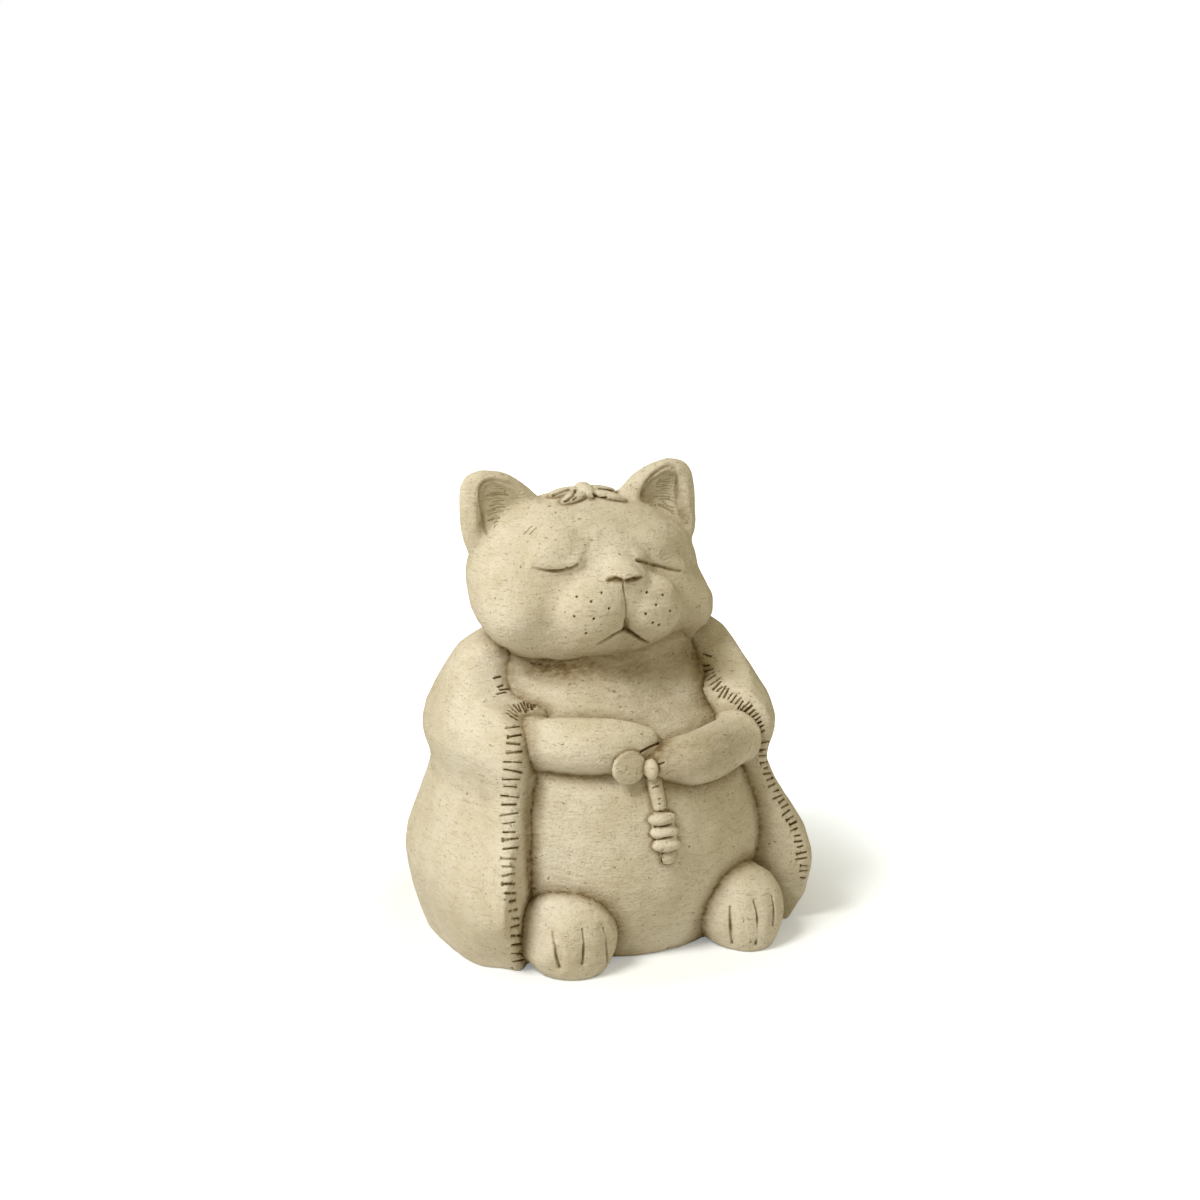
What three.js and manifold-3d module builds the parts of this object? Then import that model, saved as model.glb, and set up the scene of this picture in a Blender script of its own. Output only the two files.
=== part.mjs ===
// Garden statue of a plump cat that sits in a stitched robe, cast in stone.
// Millimetres, +Z up. The cat faces -Y, its own left side is +X, and it sits on z = 0.

import * as THREE from "three";
import { mergeVertices } from "three/addons/utils/BufferGeometryUtils.js";
import Module from "manifold-3d";

const wasm = await Module();
wasm.setup();

// Driving dimensions

const GAP = 0.4; // room between a piece and what it is seated on
const OVERRUN = 20; // how far a cutting form runs past what it cuts

const BELLY_RADIUS = 77;
const BELLY_HEIGHT = 46;
const BELLY_FORWARD = 5; // the torso sits this far in front of the statue's middle
const TORSO_FOOT_RADIUS = 66;
const CHEST_START = 86; // height at which the round belly begins to flatten into the chest
const CHEST_RADIUS = 63;
const CHEST_HEIGHT = 112;
const CHEST_DEPTH = 0.54; // front to back, as a share of the chest's width
const NECK_RADIUS = 46;
const NECK_HEIGHT = 142;
const TENON_RISE = 26; // the neck runs up inside the head as a tenon

const ROBE_FOOT_RADIUS = 88;
const HIP_RADIUS = 97;
const HIP_HEIGHT = 44;
const WAIST_RADIUS = 84;
const WAIST_HEIGHT = 82;
const ARM_RADIUS = 88;
const ARM_HEIGHT = 106;
const SHOULDER_RADIUS = 72.5;
const SHOULDER_HEIGHT = 140;
const SHOULDER_DEPTH = 0.62; // front to back, as a share of the shoulders' width
const SHOULDER_BACK = 8;
const COLLAR_RADIUS = 58;
const COLLAR_RISE = 8; // from the shoulders up to the collar's edge
const ROBE_FORWARD = 6;
const HEM_FLARE = 9; // how far the front edges swing out below the forearms
const HEM_REACH = 62; // how far round the front corner that swing is felt

const OPENING_AT_COLLAR = 84; // degrees from the front to each edge of the robe, from the collar down
const OPENING_AT_CHEST = 68;
const OPENING_AT_SLEEVE = 48;
const OPENING_AT_FLOOR = 48;
const OPENING_INSIDE = 12; // the opening is cut from this far off the statue's middle

const HEAD_RISE = 33.5; // from the neck up to the head's middle
const HEAD_WIDTH = 119;
const HEAD_DEPTH = 74;
const HEAD_TALL = 77;
const HEAD_BACK = 14;
const HEAD_TILT = 4; // degrees that the head leans to its left
const HEAD_TURN = 5.5; // degrees that the face looks to its left
const HEAD_ASIDE = 2.5; // the head was set this far to the right of the middle by hand

const CHEEK_SPREAD = 48;
const CHEEK_DROP = 17; // below the head's middle, as the other drops of the face
const CHEEK_REACH = 40;
const CHEEK_OUT = 12;
const CHEEK_FORWARD = 18;
const CHEEK_SAG = 8;
const JOWL_SPREAD = 24;
const JOWL_DROP = 34;
const JOWL_REACH = 30;
const JOWL_FORWARD = 10;
const JOWL_SAG = 7;
const MUZZLE_DROP = 18;
const MUZZLE_REACH = 38;
const MUZZLE_FORWARD = 18;
const MUZZLE_SAG = 4;
const BRIDGE_RISE = 10; // above the head's middle, as the other rises of the face
const BRIDGE_REACH = 24;
const BRIDGE_FORWARD = 7;
const SOCKET_RISE = 5;
const SOCKET_REACH = 13;
const SOCKET_DEPTH = 1.5;

const EAR_OUTSIDE = 64; // from the middle to the ears' upright outer edges
const EAR_RISE = 53; // from the head's middle up to the ears' tips
const EAR_LIFT = 2; // the right ear stands higher than the left one by twice this
const EAR_SWAY = 2.5; // how far both tips lean to the cat's right
const EAR_WIDTH = 46;
const EAR_THICKNESS = 17;
const EAR_LEAN = 3; // how far the tips lie behind the roots
const EAR_RIM = 3.6;
const EAR_HOLLOW = 8.5;

const FEATURE_FORWARD = 7; // whisker pads, nose and chin are seated this far in front of the face
const PAD_WIDTH = 37;
const PAD_TALL = 34;
const PAD_DEPTH = 26;
const PAD_SPREAD = 15;
const PAD_DROP = 12;
const NOSE_WIDTH = 24;
const NOSE_TALL = 15;
const NOSE_DEPTH = 18;
const NOSE_RISE = 5;
const CHIN_WIDTH = 26;
const CHIN_TALL = 14;
const CHIN_DEPTH = 15;
const EYE_SPREAD = 24;
const EYE_RISE = 13;
const LID_WIDTH = 42;
const LID_TALL = 26;
const LID_DEPTH = 28;
const LID_INSET = 15; // the closed lids are seated this far behind the face

const ARM_THICKNESS = 27;
const SLEEVE_SPREAD = 66; // from the middle to where a forearm leaves its sleeve
const PAW_HEIGHT = 102;
const PAW_CROSSING = 7; // how far each paw reaches past the middle
const ARM_TILT = 5; // the right forearm lies higher than the left one by twice this
const THUMB_WIDTH = 17;
const THUMB_DEPTH = 10;
const THUMB_SIDE = -18;

const FOOT_WIDTH = 48;
const FOOT_LENGTH = 55;
const FOOT_TALL = 42;
const FOOT_SPREAD = 46;
const FOOT_TUCK = 18; // from the belly's front back to the foot's middle
const TOE_SWELL = 4;
const TOE_SAG = 6;
const TOE_REACH = 30;
const TOE_CUT = 2.6;
const TOE_CUT_LENGTH = 24;
const TOE_CUT_DEPTH = 12;

const SASH_WIDTH = 7;
const SASH_DEPTH = 6;
const SASH_DROP = 4; // from the paws' middle down to the sash's bead
const SASH_SIDE = -5; // the sash starts a little to the right of the middle
const SASH_LENGTH = 46;
const SASH_OFF = 0.5; // the sash's middle line stands this far off the belly
const BEAD_TALL = 11;
const BEAD_DEPTH = 9;
const KNOT_WIDTH = 15;
const KNOT_TALL = 6;
const KNOT_DEPTH = 11;
const FRINGE_WIDTH = 9;
const FRINGE_LENGTH = 10;

const MOTH_MIDDLE = 8; // behind the statue's middle, on top of the crown
const MOTH_LENGTH = 18;
const MOTH_WIDTH = 9;
const MOTH_TALL = 8;
const MOTH_OFF = 1; // the moth's middle line stands this far off the crown
const WING_SPAN = 41;
const WING_WIDTH = 10;
const WING_TALL = 5;
const WING_OFF = 0.6;
const WING_SWEEP_FRONT = 7;
const WING_SWEEP_REAR = 5;

// Facets round and along each kind of form
const ROBE_FACETS = [40, 20];
const TORSO_FACETS = [32, 14];
const HEAD_FACETS = [34, 22];
const LIMB_FACETS = [16, 12];
const FOOT_FACETS = [18, 13];
const PAD_FACETS = [16, 12];
const SMALL_FACETS = [14, 9];
const CORD_FACETS = [12, 8];
const MOTH_FACETS = [10, 8];
const GROOVE_FACETS = [8, 6];

// Places worked out from the sizes
const HEAD_HEIGHT = NECK_HEIGHT + HEAD_RISE;
const TENON_TOP = NECK_HEIGHT + TENON_RISE;
const COLLAR_HEIGHT = SHOULDER_HEIGHT + COLLAR_RISE;
const FACE = HEAD_DEPTH / 2 - HEAD_BACK; // how far the face stands in front of the statue's middle
const FEATURES = FACE + FEATURE_FORWARD;
const FOOT_FORWARD = BELLY_RADIUS + BELLY_FORWARD - FOOT_TUCK;
const FOOT_MIDDLE = FOOT_TALL * 0.4; // a tenth of the foot's height is cut off flat by the ground
const SASH_TOP = PAW_HEIGHT - SASH_DROP;
const KNOTS_TOP = SASH_TOP - SASH_LENGTH * 0.55;

const RIGHT = -1;
const LEFT = 1;
const SIDES = [["right", RIGHT], ["left", LEFT]];

const at = (x, y, z) => new THREE.Vector3(x, y, z);
const FRONT = at(0, -1, 0);
const UP = at(0, 0, 1);

// Shaping tools

/** A ball squashed to three widths. */
function ball(centre, width, depth, tall, [around, rings]) {
  return new THREE.SphereGeometry(0.5, around, rings)
    .scale(width, depth, tall)
    .translate(centre.x, centre.y, centre.z);
}

/** The smooth line through an outline of [radius, height] pairs. */
function outlineCurve(outline) {
  return new THREE.SplineCurve(outline.map(([radius, height]) => new THREE.Vector2(radius, height)));
}

/** A form turned on the wheel from an outline. */
function turned(outline, [around, rings]) {
  const profile = outlineCurve(outline).getPoints(rings);
  profile.unshift(new THREE.Vector2(0, profile[0].y));
  profile.push(new THREE.Vector2(0, profile.at(-1).y));
  return new THREE.LatheGeometry(profile, around).rotateX(Math.PI / 2);
}

/** A limb rolled along a smooth path. Its widths and depths change along the path, and it faces one way. */
function limb(path, widths, depths, facing, [around, rings], blunt = 4) {
  const line = new THREE.CatmullRomCurve3(path);
  const sections = new THREE.CatmullRomCurve3(widths.map((width, i) => at(width / 2, depths[i] / 2, 0)));
  const geometry = new THREE.SphereGeometry(1, around, rings);
  const position = geometry.getAttribute("position");
  const point = at(0, 0, 0);
  for (let i = 0; i < position.count; i++) {
    point.fromBufferAttribute(position, i);
    const share = Math.acos(THREE.MathUtils.clamp(point.y, -1, 1)) / Math.PI;
    const ring = Math.hypot(point.x, point.z) || 1;
    const round = Math.sqrt(1 - Math.abs(2 * share - 1) ** blunt);
    const along = line.getTangent(share);
    const across = at(0, 0, 0).crossVectors(along, facing).normalize();
    const out = at(0, 0, 0).crossVectors(across, along).normalize();
    const section = sections.getPoint(share);
    const place = line.getPoint(share);
    place.addScaledVector(across, (point.x / ring) * section.x * round);
    place.addScaledVector(out, (point.z / ring) * section.y * round);
    position.setXYZ(i, place.x, place.y, place.z);
  }
  return geometry;
}

/** A thumb press: moves the surface near a point, most at the point and not at all past its reach. */
function press(geometry, point, reach, push) {
  const position = geometry.getAttribute("position");
  const here = at(0, 0, 0);
  for (let i = 0; i < position.count; i++) {
    here.fromBufferAttribute(position, i);
    const away = here.distanceTo(point) / reach;
    if (away < 1) {
      here.addScaledVector(push, (1 - away ** 2) ** 2);
      position.setXYZ(i, here.x, here.y, here.z);
    }
  }
  return geometry;
}

/** The same press on both sides of the cat. */
function pressBoth(geometry, point, reach, push) {
  for (const side of [RIGHT, LEFT]) {
    press(geometry, at(side * point.x, point.y, point.z), reach, at(side * push.x, push.y, push.z));
  }
  return geometry;
}

// Solids

/** A closed geometry as a solid that can be cut. */
function solid(geometry) {
  const bare = geometry.clone();
  bare.deleteAttribute("normal");
  bare.deleteAttribute("uv");
  const merged = mergeVertices(bare, 1e-3);
  const corners = merged.index.array;
  const kept = [];
  for (let i = 0; i < corners.length; i += 3) {
    const [a, b, c] = corners.subarray(i, i + 3);
    if (a !== b && b !== c && c !== a) kept.push(a, b, c);
  }
  const triVerts = new Uint32Array(kept);
  const vertProperties = new Float32Array(merged.getAttribute("position").array);
  const made = new wasm.Manifold(new wasm.Mesh({ numProp: 3, vertProperties, triVerts }));
  if (made.volume() > 0) return made;
  triVerts.reverse();
  return new wasm.Manifold(new wasm.Mesh({ numProp: 3, vertProperties, triVerts }));
}

/** The outward faces of a solid. */
function facesOf(made) {
  const { vertProperties, triVerts } = made.getMesh();
  const geometry = new THREE.BufferGeometry();
  geometry.setAttribute("position", new THREE.BufferAttribute(vertProperties, 3));
  geometry.setIndex(new THREE.BufferAttribute(triVerts, 1));
  geometry.computeVertexNormals();
  return geometry;
}

/** The room that a form takes from its neighbours: the form swollen by the gap. */
function room(form) {
  const swollen = facesOf(solid(form));
  const position = swollen.getAttribute("position");
  const normal = swollen.getAttribute("normal");
  const point = at(0, 0, 0);
  const out = at(0, 0, 0);
  for (let i = 0; i < position.count; i++) {
    point.fromBufferAttribute(position, i);
    out.fromBufferAttribute(normal, i);
    point.addScaledVector(out, GAP);
    position.setXYZ(i, point.x, point.y, point.z);
  }
  return solid(swollen);
}

function cut(piece, ...tools) {
  return tools.reduce((left, tool) => left.subtract(tool), piece);
}

/** Everything below the ground. */
function ground() {
  const span = 6 * HIP_RADIUS;
  return solid(new THREE.BoxGeometry(span, span, span).translate(0, 0, -span / 2));
}

/** Everything on one side of the head's middle, and half a gap past it. */
function halfSpace(side) {
  const span = 6 * HEAD_WIDTH;
  const middle = side * (span / 2 - GAP / 2) - HEAD_ASIDE;
  return solid(new THREE.BoxGeometry(span, span, span).translate(middle, 0, 0));
}

// Torso and robe

const TORSO_OUTLINE = [
  [TORSO_FOOT_RADIUS, 0],
  [BELLY_RADIUS * 0.96, BELLY_HEIGHT * 0.45],
  [BELLY_RADIUS, BELLY_HEIGHT],
  [BELLY_RADIUS * 0.6 + CHEST_RADIUS * 0.4, BELLY_HEIGHT * 0.44 + CHEST_HEIGHT * 0.56],
  [CHEST_RADIUS, CHEST_HEIGHT],
  [NECK_RADIUS, NECK_HEIGHT],
  [NECK_RADIUS * 0.6, TENON_TOP],
];

const ROBE_OUTLINE = [
  [ROBE_FOOT_RADIUS, 0],
  [ROBE_FOOT_RADIUS * 0.4 + HIP_RADIUS * 0.6, HIP_HEIGHT * 0.4],
  [HIP_RADIUS, HIP_HEIGHT],
  [WAIST_RADIUS, WAIST_HEIGHT],
  [ARM_RADIUS, ARM_HEIGHT],
  [SHOULDER_RADIUS, SHOULDER_HEIGHT],
  [COLLAR_RADIUS, COLLAR_HEIGHT],
];

/** Squashes a turned form front to back, from one height, where it is round, up to another. */
function flatten(geometry, round, flat, depth, back) {
  const position = geometry.getAttribute("position");
  for (let i = 0; i < position.count; i++) {
    const share = THREE.MathUtils.smoothstep(position.getZ(i), round, flat);
    position.setY(i, position.getY(i) * THREE.MathUtils.lerp(1, depth, share) + back * share);
  }
  return geometry;
}

function torsoForm() {
  const torso = turned(TORSO_OUTLINE, TORSO_FACETS);
  return flatten(torso, CHEST_START, NECK_HEIGHT, CHEST_DEPTH, 0).translate(0, -BELLY_FORWARD, 0);
}

/** A point that stands off the torso's front. */
function offTorso(x, height, off) {
  const outline = outlineCurve(TORSO_OUTLINE).getPoints(200);
  const radius = outline.find((point) => point.y >= height).x;
  const share = THREE.MathUtils.smoothstep(height, CHEST_START, NECK_HEIGHT);
  const reach = Math.sqrt(Math.max(radius ** 2 - x ** 2, 0)) * THREE.MathUtils.lerp(1, CHEST_DEPTH, share);
  return at(x, -BELLY_FORWARD - reach - off, height);
}

/** Draws the robe's back out straight where its sides fold in at the waist. */
function smoothBack(geometry) {
  const position = geometry.getAttribute("position");
  for (let i = 0; i < position.count; i++) {
    const point = at(position.getX(i), position.getY(i), 0);
    const height = position.getZ(i);
    const share = THREE.MathUtils.smoothstep(height, HIP_HEIGHT, SHOULDER_HEIGHT);
    const straight = THREE.MathUtils.lerp(HIP_RADIUS, SHOULDER_RADIUS, share);
    const inFold = height > HIP_HEIGHT && height < SHOULDER_HEIGHT;
    const behind = THREE.MathUtils.smoothstep(point.y / (point.length() || 1), 0.5, 1);
    if (inFold && behind > 0) {
      point.setLength(THREE.MathUtils.lerp(point.length(), straight, behind));
      position.setXY(i, point.x, point.y);
    }
  }
  return geometry;
}

function robeForm() {
  const robe = smoothBack(turned(ROBE_OUTLINE, ROBE_FACETS));
  flatten(robe, ARM_HEIGHT, SHOULDER_HEIGHT, SHOULDER_DEPTH, SHOULDER_BACK);
  const corner = at(HIP_RADIUS * 0.8, -HIP_RADIUS * 0.6, HIP_HEIGHT * 0.5);
  pressBoth(robe, corner, HEM_REACH, at(HEM_FLARE, -HEM_FLARE, 0));
  return robe.translate(0, -ROBE_FORWARD, 0);
}

/** The robe's front opening: a wedge round the statue's middle whose spread changes with height. */
function openingForm() {
  const sleeve = SHOULDER_HEIGHT - ARM_HEIGHT;
  const spread = new THREE.SplineCurve([
    new THREE.Vector2(OPENING_AT_FLOOR, -OVERRUN),
    new THREE.Vector2(OPENING_AT_FLOOR, HIP_HEIGHT),
    new THREE.Vector2(OPENING_AT_SLEEVE, WAIST_HEIGHT),
    new THREE.Vector2(OPENING_AT_SLEEVE, ARM_HEIGHT),
    new THREE.Vector2(OPENING_AT_SLEEVE * 0.9 + OPENING_AT_CHEST * 0.1, ARM_HEIGHT + sleeve * 0.4),
    new THREE.Vector2(OPENING_AT_CHEST, ARM_HEIGHT + sleeve * 0.56),
    new THREE.Vector2(OPENING_AT_COLLAR, SHOULDER_HEIGHT),
    new THREE.Vector2(OPENING_AT_COLLAR, COLLAR_HEIGHT + OVERRUN),
  ]);
  const outside = HIP_RADIUS + HEM_FLARE + ROBE_FORWARD + OVERRUN;
  const wedge = new THREE.BoxGeometry(2, 1, 1, 4, 4, 22);
  const position = wedge.getAttribute("position");
  for (let i = 0; i < position.count; i++) {
    const level = spread.getPoint(position.getZ(i) + 0.5);
    const angle = THREE.MathUtils.degToRad(position.getX(i) * level.x);
    const reach = THREE.MathUtils.lerp(outside, OPENING_INSIDE, position.getY(i) + 0.5);
    position.setXYZ(i, reach * Math.sin(angle), -reach * Math.cos(angle), level.y);
  }
  return wedge;
}

// Head

/** Sets a piece of the head with the head's lean, turn and place. */
function leant(geometry) {
  geometry.translate(0, -HEAD_BACK, -HEAD_HEIGHT);
  geometry.rotateY(THREE.MathUtils.degToRad(HEAD_TILT));
  geometry.rotateZ(THREE.MathUtils.degToRad(HEAD_TURN));
  return geometry.translate(-HEAD_ASIDE, HEAD_BACK, HEAD_HEIGHT);
}

/** A point of the face, by its side, its depth behind the face, and its rise over the head's middle. */
function onFace(x, behind, rise) {
  return at(x, -FACE + behind, HEAD_HEIGHT + rise);
}

function headForm() {
  const head = ball(at(0, HEAD_BACK, HEAD_HEIGHT), HEAD_WIDTH, HEAD_DEPTH, HEAD_TALL, HEAD_FACETS);
  const cheek = onFace(CHEEK_SPREAD, FACE * 0.8, -CHEEK_DROP);
  pressBoth(head, cheek, CHEEK_REACH, at(CHEEK_OUT, -CHEEK_FORWARD, -CHEEK_SAG));
  pressBoth(head, onFace(EYE_SPREAD, FACE * 0.2, SOCKET_RISE), SOCKET_REACH, at(0, SOCKET_DEPTH, 0));
  press(head, onFace(0, 0, BRIDGE_RISE), BRIDGE_REACH, at(0, -BRIDGE_FORWARD, 0));
  press(head, onFace(0, 0, -MUZZLE_DROP), MUZZLE_REACH, at(0, -MUZZLE_FORWARD, -MUZZLE_SAG));
  pressBoth(head, onFace(JOWL_SPREAD, FACE / 2, -JOWL_DROP), JOWL_REACH, at(0, -JOWL_FORWARD, -JOWL_SAG));
  return leant(head);
}

/** A point that stands off the crown of the head. */
function offCrown(x, y, off) {
  const reach = (x / (HEAD_WIDTH / 2)) ** 2 + ((y - HEAD_BACK) / (HEAD_DEPTH / 2)) ** 2;
  return at(x, y, HEAD_HEIGHT + (HEAD_TALL / 2) * Math.sqrt(1 - Math.min(reach, 0.99)) + off);
}

// An ear from its root to its tip: shares of its rise, and of its width and thickness there. The inset is
// from the outer edge in to the ear's middle, as a share of its width.
const EAR_STATIONS = [
  { rise: -0.05, inset: 0.58, width: 1, thickness: 1, hollowWidth: 0.9, hollowDepth: 1 },
  { rise: 0.36, inset: 0.5, width: 1, thickness: 1, hollowWidth: 0.98, hollowDepth: 1 },
  { rise: 0.67, inset: 0.46, width: 0.94, thickness: 0.9, hollowWidth: 0.88, hollowDepth: 1 },
  { rise: 0.85, inset: 0.37, width: 0.73, thickness: 0.75, hollowWidth: 0.58, hollowDepth: 0.9 },
  { rise: 1, inset: 0.28, width: 0.48, thickness: 0.6, hollowWidth: 0.2, hollowDepth: 0.8 },
];

/** The leaf of an ear, rolled upright and then leant out to its place, level by level. */
function earLeaf(side, widths, depths) {
  const tip = EAR_RISE - side * EAR_LIFT;
  const path = EAR_STATIONS.map(({ rise }) => {
    return at(0, HEAD_BACK - EAR_LEAN * (1 - rise), HEAD_HEIGHT + rise * tip);
  });
  const leaf = limb(path, widths, depths, FRONT, LIMB_FACETS);
  const insets = outlineCurve(EAR_STATIONS.map(({ rise, inset }) => [inset, rise])).getPoints(200);
  const position = leaf.getAttribute("position");
  for (let i = 0; i < position.count; i++) {
    const rise = (position.getZ(i) - HEAD_HEIGHT) / tip;
    const inset = (insets.find((point) => point.y >= rise) ?? insets.at(-1)).x;
    position.setX(i, position.getX(i) + side * (EAR_OUTSIDE - inset * EAR_WIDTH) - rise * EAR_SWAY);
  }
  return leaf;
}

function earForm(side) {
  const widths = EAR_STATIONS.map((station) => station.width * EAR_WIDTH);
  const depths = EAR_STATIONS.map((station) => station.thickness * EAR_THICKNESS);
  return earLeaf(side, widths, depths);
}

/** The hollow in an ear's front, inside its rim. */
function earHollowForm(side) {
  const widths = EAR_STATIONS.map((station) => station.hollowWidth * (EAR_WIDTH - 2 * EAR_RIM));
  const depths = EAR_STATIONS.map((station) => station.hollowDepth * 2 * EAR_HOLLOW);
  return earLeaf(side, widths, depths).translate(-side * EAR_RIM * 0.4, -EAR_THICKNESS * 0.45, -EAR_RIM);
}

/** A whisker pad, parted from the other one at the head's middle. */
function padForm(side) {
  const centre = at(side * PAD_SPREAD, -FEATURES, HEAD_HEIGHT - PAD_DROP);
  const pad = leant(ball(centre, PAD_WIDTH, PAD_DEPTH, PAD_TALL, PAD_FACETS));
  return facesOf(cut(solid(pad), halfSpace(-side)));
}

function noseForm() {
  const centre = at(0, -FEATURES, HEAD_HEIGHT + NOSE_RISE);
  return leant(ball(centre, NOSE_WIDTH, NOSE_DEPTH, NOSE_TALL, SMALL_FACETS));
}

function chinForm() {
  const centre = at(0, -FEATURES, HEAD_HEIGHT - PAD_DROP - PAD_TALL / 2);
  return leant(ball(centre, CHIN_WIDTH, CHIN_DEPTH, CHIN_TALL, SMALL_FACETS));
}

function lidForm(side) {
  const centre = onFace(side * EYE_SPREAD, LID_INSET, EYE_RISE);
  return leant(ball(centre, LID_WIDTH, LID_DEPTH, LID_TALL, PAD_FACETS));
}

// Forearms and feet

/** A forearm that lies on the belly, from inside its sleeve to its paw. */
function forearmForm(side) {
  const height = PAW_HEIGHT - side * ARM_TILT;
  const path = [
    offTorso(side * SLEEVE_SPREAD, height, ARM_THICKNESS * 0.2),
    offTorso(side * SLEEVE_SPREAD * 0.8, height, ARM_THICKNESS * 0.14),
    offTorso(side * SLEEVE_SPREAD * 0.42, height, ARM_THICKNESS * 0.2),
    offTorso(-side * PAW_CROSSING, (height + PAW_HEIGHT) / 2, ARM_THICKNESS * 0.15),
  ];
  const thick = [0.8, 0.92, 1, 0.88].map((share) => share * ARM_THICKNESS);
  return limb(path, thick, thick, FRONT, LIMB_FACETS);
}

/** The right paw's thumb, seated on the front of the right forearm. */
function thumbForm() {
  const centre = offTorso(THUMB_SIDE, PAW_HEIGHT + ARM_TILT, ARM_THICKNESS * 0.6).setZ(PAW_HEIGHT);
  return ball(centre, THUMB_WIDTH, THUMB_DEPTH, THUMB_WIDTH, SMALL_FACETS);
}

function footForm(side) {
  const centre = at(side * FOOT_SPREAD, -FOOT_FORWARD, FOOT_MIDDLE);
  const foot = ball(centre, FOOT_WIDTH, FOOT_LENGTH, FOOT_TALL, FOOT_FACETS);
  const toes = at(side * FOOT_SPREAD, -FOOT_FORWARD - FOOT_LENGTH * 0.4, 0);
  return press(foot, toes, TOE_REACH, at(0, -TOE_SWELL, -TOE_SAG));
}

/** The three grooves that part a foot's toes. */
function toeCuts(side) {
  return [-0.26, 0, 0.26].map((share) => {
    const forward = FOOT_FORWARD + FOOT_LENGTH * (0.46 - 0.55 * share ** 2);
    const centre = at(side * FOOT_SPREAD + share * FOOT_WIDTH, -forward, FOOT_MIDDLE);
    return solid(ball(centre, TOE_CUT, TOE_CUT_DEPTH, TOE_CUT_LENGTH, GROOVE_FACETS));
  });
}

// Sash

/** A point of the sash's middle line, at a height. */
function sashAt(height) {
  return offTorso(SASH_SIDE * (1 - (SASH_TOP - height) / SASH_LENGTH), height, SASH_OFF);
}

function strapForm() {
  const path = [0.08, 0.22, 0.36, 0.5].map((share) => sashAt(SASH_TOP - share * SASH_LENGTH));
  const widths = [0.9, 1, 1, 1].map((share) => share * SASH_WIDTH);
  const depths = path.map(() => SASH_DEPTH);
  return limb(path, widths, depths, FRONT, CORD_FACETS, 8);
}

function beadForm() {
  const centre = offTorso(SASH_SIDE * 1.5, SASH_TOP, ARM_THICKNESS * 0.35);
  return ball(centre, SASH_WIDTH * 0.8, BEAD_DEPTH, BEAD_TALL, CORD_FACETS);
}

function knotForm(order) {
  const centre = sashAt(KNOTS_TOP - order * (KNOT_TALL + GAP));
  return ball(centre, KNOT_WIDTH, KNOT_DEPTH, KNOT_TALL, SMALL_FACETS);
}

function fringeForm() {
  const top = KNOTS_TOP - 2 * (KNOT_TALL + GAP);
  const path = [0, 0.5, 1].map((share) => sashAt(top - share * FRINGE_LENGTH));
  const widths = [1, 0.9, 0.8].map((share) => share * FRINGE_WIDTH);
  const depths = [1, 1, 0.85].map((share) => share * SASH_DEPTH);
  return limb(path, widths, depths, FRONT, CORD_FACETS);
}

// Moth on the crown

function mothForm() {
  const path = [0.5, 0.1, -0.5].map((share) => offCrown(0, MOTH_MIDDLE + share * MOTH_LENGTH, MOTH_OFF));
  const widths = [0.7, 1, 0.7].map((share) => share * MOTH_WIDTH);
  const depths = [0.75, 1, 0.75].map((share) => share * MOTH_TALL);
  return leant(limb(path, widths, depths, UP, MOTH_FACETS));
}

/** A wing, given how far its tip lies behind the moth's middle. */
function wingForm(side, sweep) {
  const path = [0, 0.5, 1].map((share) => {
    return offCrown((side * share * WING_SPAN) / 2, MOTH_MIDDLE + sweep * (0.4 + 0.6 * share), WING_OFF);
  });
  const widths = [0.6, 1, 0.8].map((share) => share * WING_WIDTH);
  const depths = [1, 1, 0.8].map((share) => share * WING_TALL);
  return leant(limb(path, widths, depths, UP, MOTH_FACETS));
}

// Assembly

const statue = new THREE.Group();
statue.name = "cat_garden_statue";

const seated = []; // the room that each piece placed so far takes up

/** Places a named piece against the pieces placed before it, and takes away what it is carved with. */
function place(name, form, ...carving) {
  const geometry = facesOf(cut(solid(form), ...seated, ...carving));
  seated.push(room(form));
  geometry.computeBoundingBox();
  const centre = geometry.boundingBox.getCenter(at(0, 0, 0));
  geometry.translate(-centre.x, -centre.y, -centre.z);
  const stone = new THREE.MeshStandardMaterial({ color: "#cfc19a", roughness: 0.9, metalness: 0 });
  const mesh = new THREE.Mesh(geometry, stone);
  mesh.name = name;
  mesh.position.copy(centre);
  statue.add(mesh);
}

place("torso", torsoForm(), ground());
place("head", headForm());
place("whisker_pad_right", padForm(RIGHT));
place("whisker_pad_left", padForm(LEFT));
place("nose", noseForm());
place("chin", chinForm());
for (const [name, side] of SIDES) {
  place("eyelid_" + name, lidForm(side));
  place("ear_" + name, earForm(side), solid(earHollowForm(side)));
  place("foot_" + name, footForm(side), ground(), ...toeCuts(side));
  place("forearm_" + name, forearmForm(side));
}
place("thumb", thumbForm());
place("sash_bead", beadForm());
place("sash_strap", strapForm());
place("knot_upper", knotForm(0));
place("knot_middle", knotForm(1));
place("knot_lower", knotForm(2));
place("sash_fringe", fringeForm());
place("moth_body", mothForm());
for (const [name, side] of SIDES) {
  place("wing_front_" + name, wingForm(side, -WING_SWEEP_FRONT));
  place("wing_rear_" + name, wingForm(side, WING_SWEEP_REAR));
}
place("robe", robeForm(), solid(openingForm()), ground());

// The origin lies on the ground under the middle of the statue.
const box = new THREE.Box3().setFromObject(statue);
const middle = box.getCenter(at(0, 0, 0));
for (const mesh of statue.children) {
  mesh.position.sub(at(middle.x, middle.y, box.min.z));
}

export default statue;
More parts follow.
